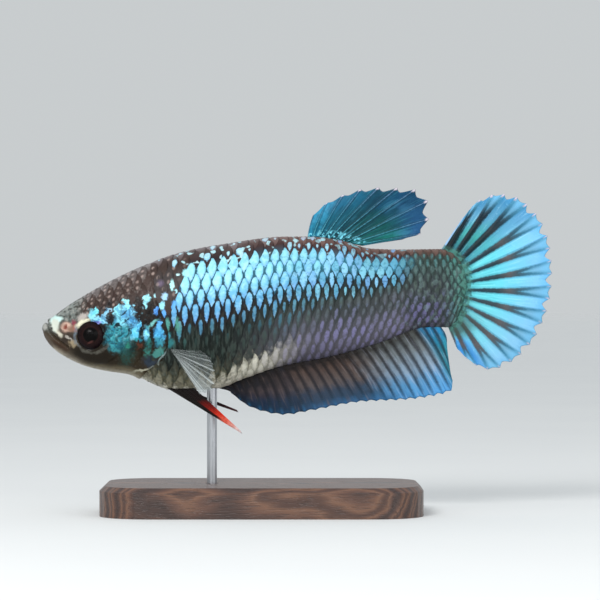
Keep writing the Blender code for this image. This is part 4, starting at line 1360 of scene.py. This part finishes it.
def anal_colour(f, web):
    u, v = web.u, web.v + web.cloud * 0.28
    front = f.ramp(
        v, (0.0, "#100e10"), (0.2, "#1e1c20"), (0.38, "#3a3234"), (0.52, "#2c2a34"), (0.68, "#18263a"),
        (0.9, "#142a40"), (1.0, "#183650"))
    middle = f.ramp(
        v, (0.0, "#1e1816"), (0.15, "#463832"), (0.45, "#504846"), (0.65, "#2e3a4a"), (0.85, "#263c52"),
        (1.0, "#2a5074"))
    rear = f.ramp(
        v, (0.0, "#3a3c3a"), (0.22, "#646c70"), (0.5, "#768ca0"), (0.75, "#528cb8"), (1.0, "#468cc4"))
    last = f.ramp(v, (0.0, "#2478a4"), (0.5, "#247c90"), (1.0, "#226470"))
    ray = f.ramp(web.v, (0.0, "#14100f"), (0.5, "#161820"), (0.8, "#182c3c"), (0.97, "#245880"))
    width = f.ramp(web.v, (0.0, 0.2), (0.5, 0.2), (0.9, 0.14), (1.0, 0.05))
    pale = f.mix(f.step(u, 0.45, 0.7), "#6c5c56", "#b4bcd0")
    return f.lay(
        front,
        (f.step(u + web.cloud * 0.1, 0.12, 0.42), middle),
        (f.step(u + web.cloud * 0.1, 0.52, 0.74), rear),
        (f.step(u, 0.87, 0.93), last),
        (f.step(u, 0.12, 0.03) * 0.9, "#0a0c12"),
        (f.step(web.luck, 0.4, 1.0) * 0.3, "#141a28"),
        *web.fibres(pale, 0.3, "#141a22", 0.4, 0.02),
        (web.stripe(width, 0.17) * 0.8, ray),
        (f.step(web.rim, 0.3, 0.0) * f.step(u, 0.3, 0.6) * 0.4, "#4c9cd4"))


def pelvic_colour(f, web):
    red = f.ramp(
        web.v + web.cloud * 0.2, (0.0, "#0a0706"), (0.26, "#140807"), (0.42, "#6c120c"), (0.6, "#c42c18"),
        (0.74, "#d85c48"), (0.86, "#d89488"), (1.0, "#ece0e0"))
    return f.lay(
        red,
        (f.step(web.u + web.v * 0.25, 0.6, 0.42) * f.step(web.v, 0.78, 0.62), "#0c0806"),
        (web.stripe(0.04, 0.05) * 0.35, "#180808"))


def dark_pelvic_colour(f, web):
    far = web.v + web.cloud * 0.2
    dark = f.ramp(far, (0.0, "#0a0808"), (0.6, "#1c1012"), (0.85, "#3c1a1c"), (1.0, "#5c3436"))
    return f.lay(dark, (web.stripe(0.04, 0.05) * 0.5, "#080606"))


def pectoral_colour(f, web):
    clear = f.mix(f.step(web.strands(18.0, 0.6, 1.0), -0.1, 0.15), "#848c8c", "#a4abab")
    return f.lay(clear, (f.step(web.ray, 0.07, 0.02) * 0.3, "#ccd2d0"))


def pectoral_alpha(f, web):
    fold = f.step(web.u, 0.6, 1.0) * 0.4
    veil = f.step(web.strands(18.0, 0.6, 1.0), 0.0, 0.16) * 0.26 + 0.1
    line = f.step(web.ray, 0.14, 0.02) * f.step(web.v, 0.1, 0.4) * f.step(web.u, 0.15, 0.7)
    return (line * 0.18 + veil + fold) * f.step(web.rim, 0.0, 0.6)


def make_fins():
    clear = fin_finish("pectoral_web", pectoral_colour, pectoral_alpha)
    fan("tail_rays", smooth_path(TAIL_BASE), smooth_path(TAIL_MARGIN), 26,
        fin_finish("tail_web", tail_colour), notches=(0.08, 0.035),
        out=wave(0.45, 1.5, 0.1), replaced="tail_fin", buried=0.9, rows=72, forked=True, ray=(0.17, 0.075),
        split_at=0.44)
    fan("dorsal_rays", body_edge(back_at, *DORSAL_SPAN, BASE_GAP), smooth_path(DORSAL_MARGIN), 11,
        fin_finish("dorsal_web", dorsal_colour), notches=(0.09,), out=wave(0.35, 1.0, 0.2),
        replaced="dorsal_fin", buried=0.7, rows=56, per_tip=14, sweep=-0.05)
    fan("anal_rays", body_edge(belly_at, *ANAL_SPAN, -BASE_GAP), smooth_path(ANAL_MARGIN), 26,
        fin_finish("anal_web", anal_colour), notches=(0.035,), out=wave(0.4, 2.0),
        replaced="anal_fin", buried=0.7, rows=56, sweep=0.15, tip_share=profile(ANAL_TIPS), ray=(0.16, 0.08))
    root, rim = PECTORAL_OUT
    narrow, wide = PELVIC_OUT
    for side, word, start, tip, finish in (
        (-1, "left", PELVIC_LEFT_ROOT, PELVIC_LEFT_TIP, fin_finish("pelvic_web", pelvic_colour)),
        (1, "right", PELVIC_RIGHT_ROOT, PELVIC_RIGHT_TIP, fin_finish("dark_pelvic_web", dark_pelvic_colour)),
    ):
        fan(f"pectoral_rays_{word}", smooth_path(PECTORAL_BASE, 2), smooth_path(PECTORAL_MARGIN), 10, clear,
            notches=(0.05,), replaced=f"pectoral_fin_{word}", buried=0.2,
            out=lambda u, v, s=side: s * (root + (rim - root) * v - 0.5 * v * v * np.sin(math.pi * u)),
            ray=(0.05, 0.05), web=0.03, ridge=0.04)
        fan(f"pelvic_rays_{word}", smooth_path(start, 2), smooth_path(tip, 2), 6, finish,
            notches=(0.0,), replaced=f"pelvic_fin_{word}", buried=0.5,
            out=lambda u, v, s=side: s * (narrow + (wide - narrow) * v),
            ray=(0.12, 0.04), web=0.07, ridge=0.07)


# ---------------------------------------------------------------- stand
def walnut_finish():
    f = Finish("walnut", {"Roughness": 0.4, "Coat Weight": 0.25, "Coat Roughness": 0.25})
    place = f.place()
    grain_place = f.stretched(f.shake(place, 3.0, 0.08), (0.12, 1.0, 1.0))
    rings = f.node("TexWave", {"wave_type": "RINGS", "rings_direction": "X"}, {
        "Vector": grain_place, "Scale": 0.32, "Distortion": 3.5, "Detail": 3.0, "Detail Scale": 1.2}, 1)
    pores = f.noise(f.stretched(place, (0.35, 5.0, 5.0)), 1.6, 3.0)
    wood = f.ramp(rings, (0.0, "#33201a"), (0.45, "#54372a"), (0.8, "#6a4936"), (1.0, "#432a20"))
    f.feed(Base_Color=f.lay(wood, (f.step(pores, 0.55, 0.7) * 0.55, "#21140f")),
           Normal=f.relief(f.step(pores, 0.7, 0.5), PORE_DEPTH))
    return f.material


def steel_finish():
    f = Finish("steel", {"Metallic": 1.0})
    brushed = f.noise(f.stretched(f.place(), (6.0, 6.0, 0.4)), 2.0, 3.0)
    f.feed(Base_Color=f.mix(brushed, "#9fa2a6", "#c4c6ca"), Roughness=brushed * 0.25 + 0.2,
           Normal=f.relief(brushed, BRUSH_DEPTH))
    return f.material


def make_stand():
    give_finish(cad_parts["stand_base"], walnut_finish())
    give_finish(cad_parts["stand_rod"], steel_finish())


# ---------------------------------------------------------------- studio
def area_light(name, place, size, watts):
    """A round soft light that faces the fish."""
    lamp = bpy.data.lights.new(name, "AREA")
    lamp.shape = "DISK"
    lamp.size, lamp.energy = size, watts
    made = add_object(name, lamp)
    made.location = place
    made.rotation_euler = (Vector(LIT_POINT) - Vector(place)).to_track_quat("-Z", "Y").to_euler()


def make_floor():
    """A wide pale floor that fades away, so it meets the sky without a line from every side."""
    floor = new_mesh("studio_floor", [(x, y, 0) for y in (-FAR, FAR) for x in (-FAR, FAR)], grid_faces(2, 2))
    f = Finish("pale_floor", {"Roughness": 0.8, "Specular IOR Level": 0.2})
    cloud = f.noise(f.place(), 0.02, 3.0)
    f.feed(Base_Color=f.mix(cloud, "#d9dad9", "#dfe0de"), Alpha=f.step(f.length(f.place()), *FLOOR_FADE))
    floor.data.materials.append(f.material)


def make_sky():
    world = bpy.data.worlds.new("studio")
    world.use_nodes = True
    tree = Tree(world.node_tree)
    height = tree.parts(tree.node("TexCoord", {}, {}, "Generated"))[2]
    tree.join(tree.nodes["Background"].inputs[0], tree.ramp(height, *SKY_STOPS))
    bpy.context.scene.world = world


def make_studio():
    make_floor()
    make_sky()
    for light in LIGHTS:
        area_light(*light)

    optics = bpy.data.cameras.new("camera")
    optics.lens, optics.sensor_width = CAMERA_LENS, CAMERA_SENSOR
    optics.clip_start, optics.clip_end = CAMERA_REACH
    camera = add_object("camera", optics)
    camera.location = CAMERA_AT
    camera.rotation_euler = (math.pi / 2, 0, 0)
    scene = bpy.context.scene
    scene.camera = camera
    scene.view_settings.view_transform = "Standard"


make_skin(make_skin_finish())
make_coat(make_scale_finish())
eye_finish = make_eye_finish()
make_eye("left", -1, eye_finish)
make_eye("right", 1, eye_finish)
make_fins()
make_stand()
make_studio()
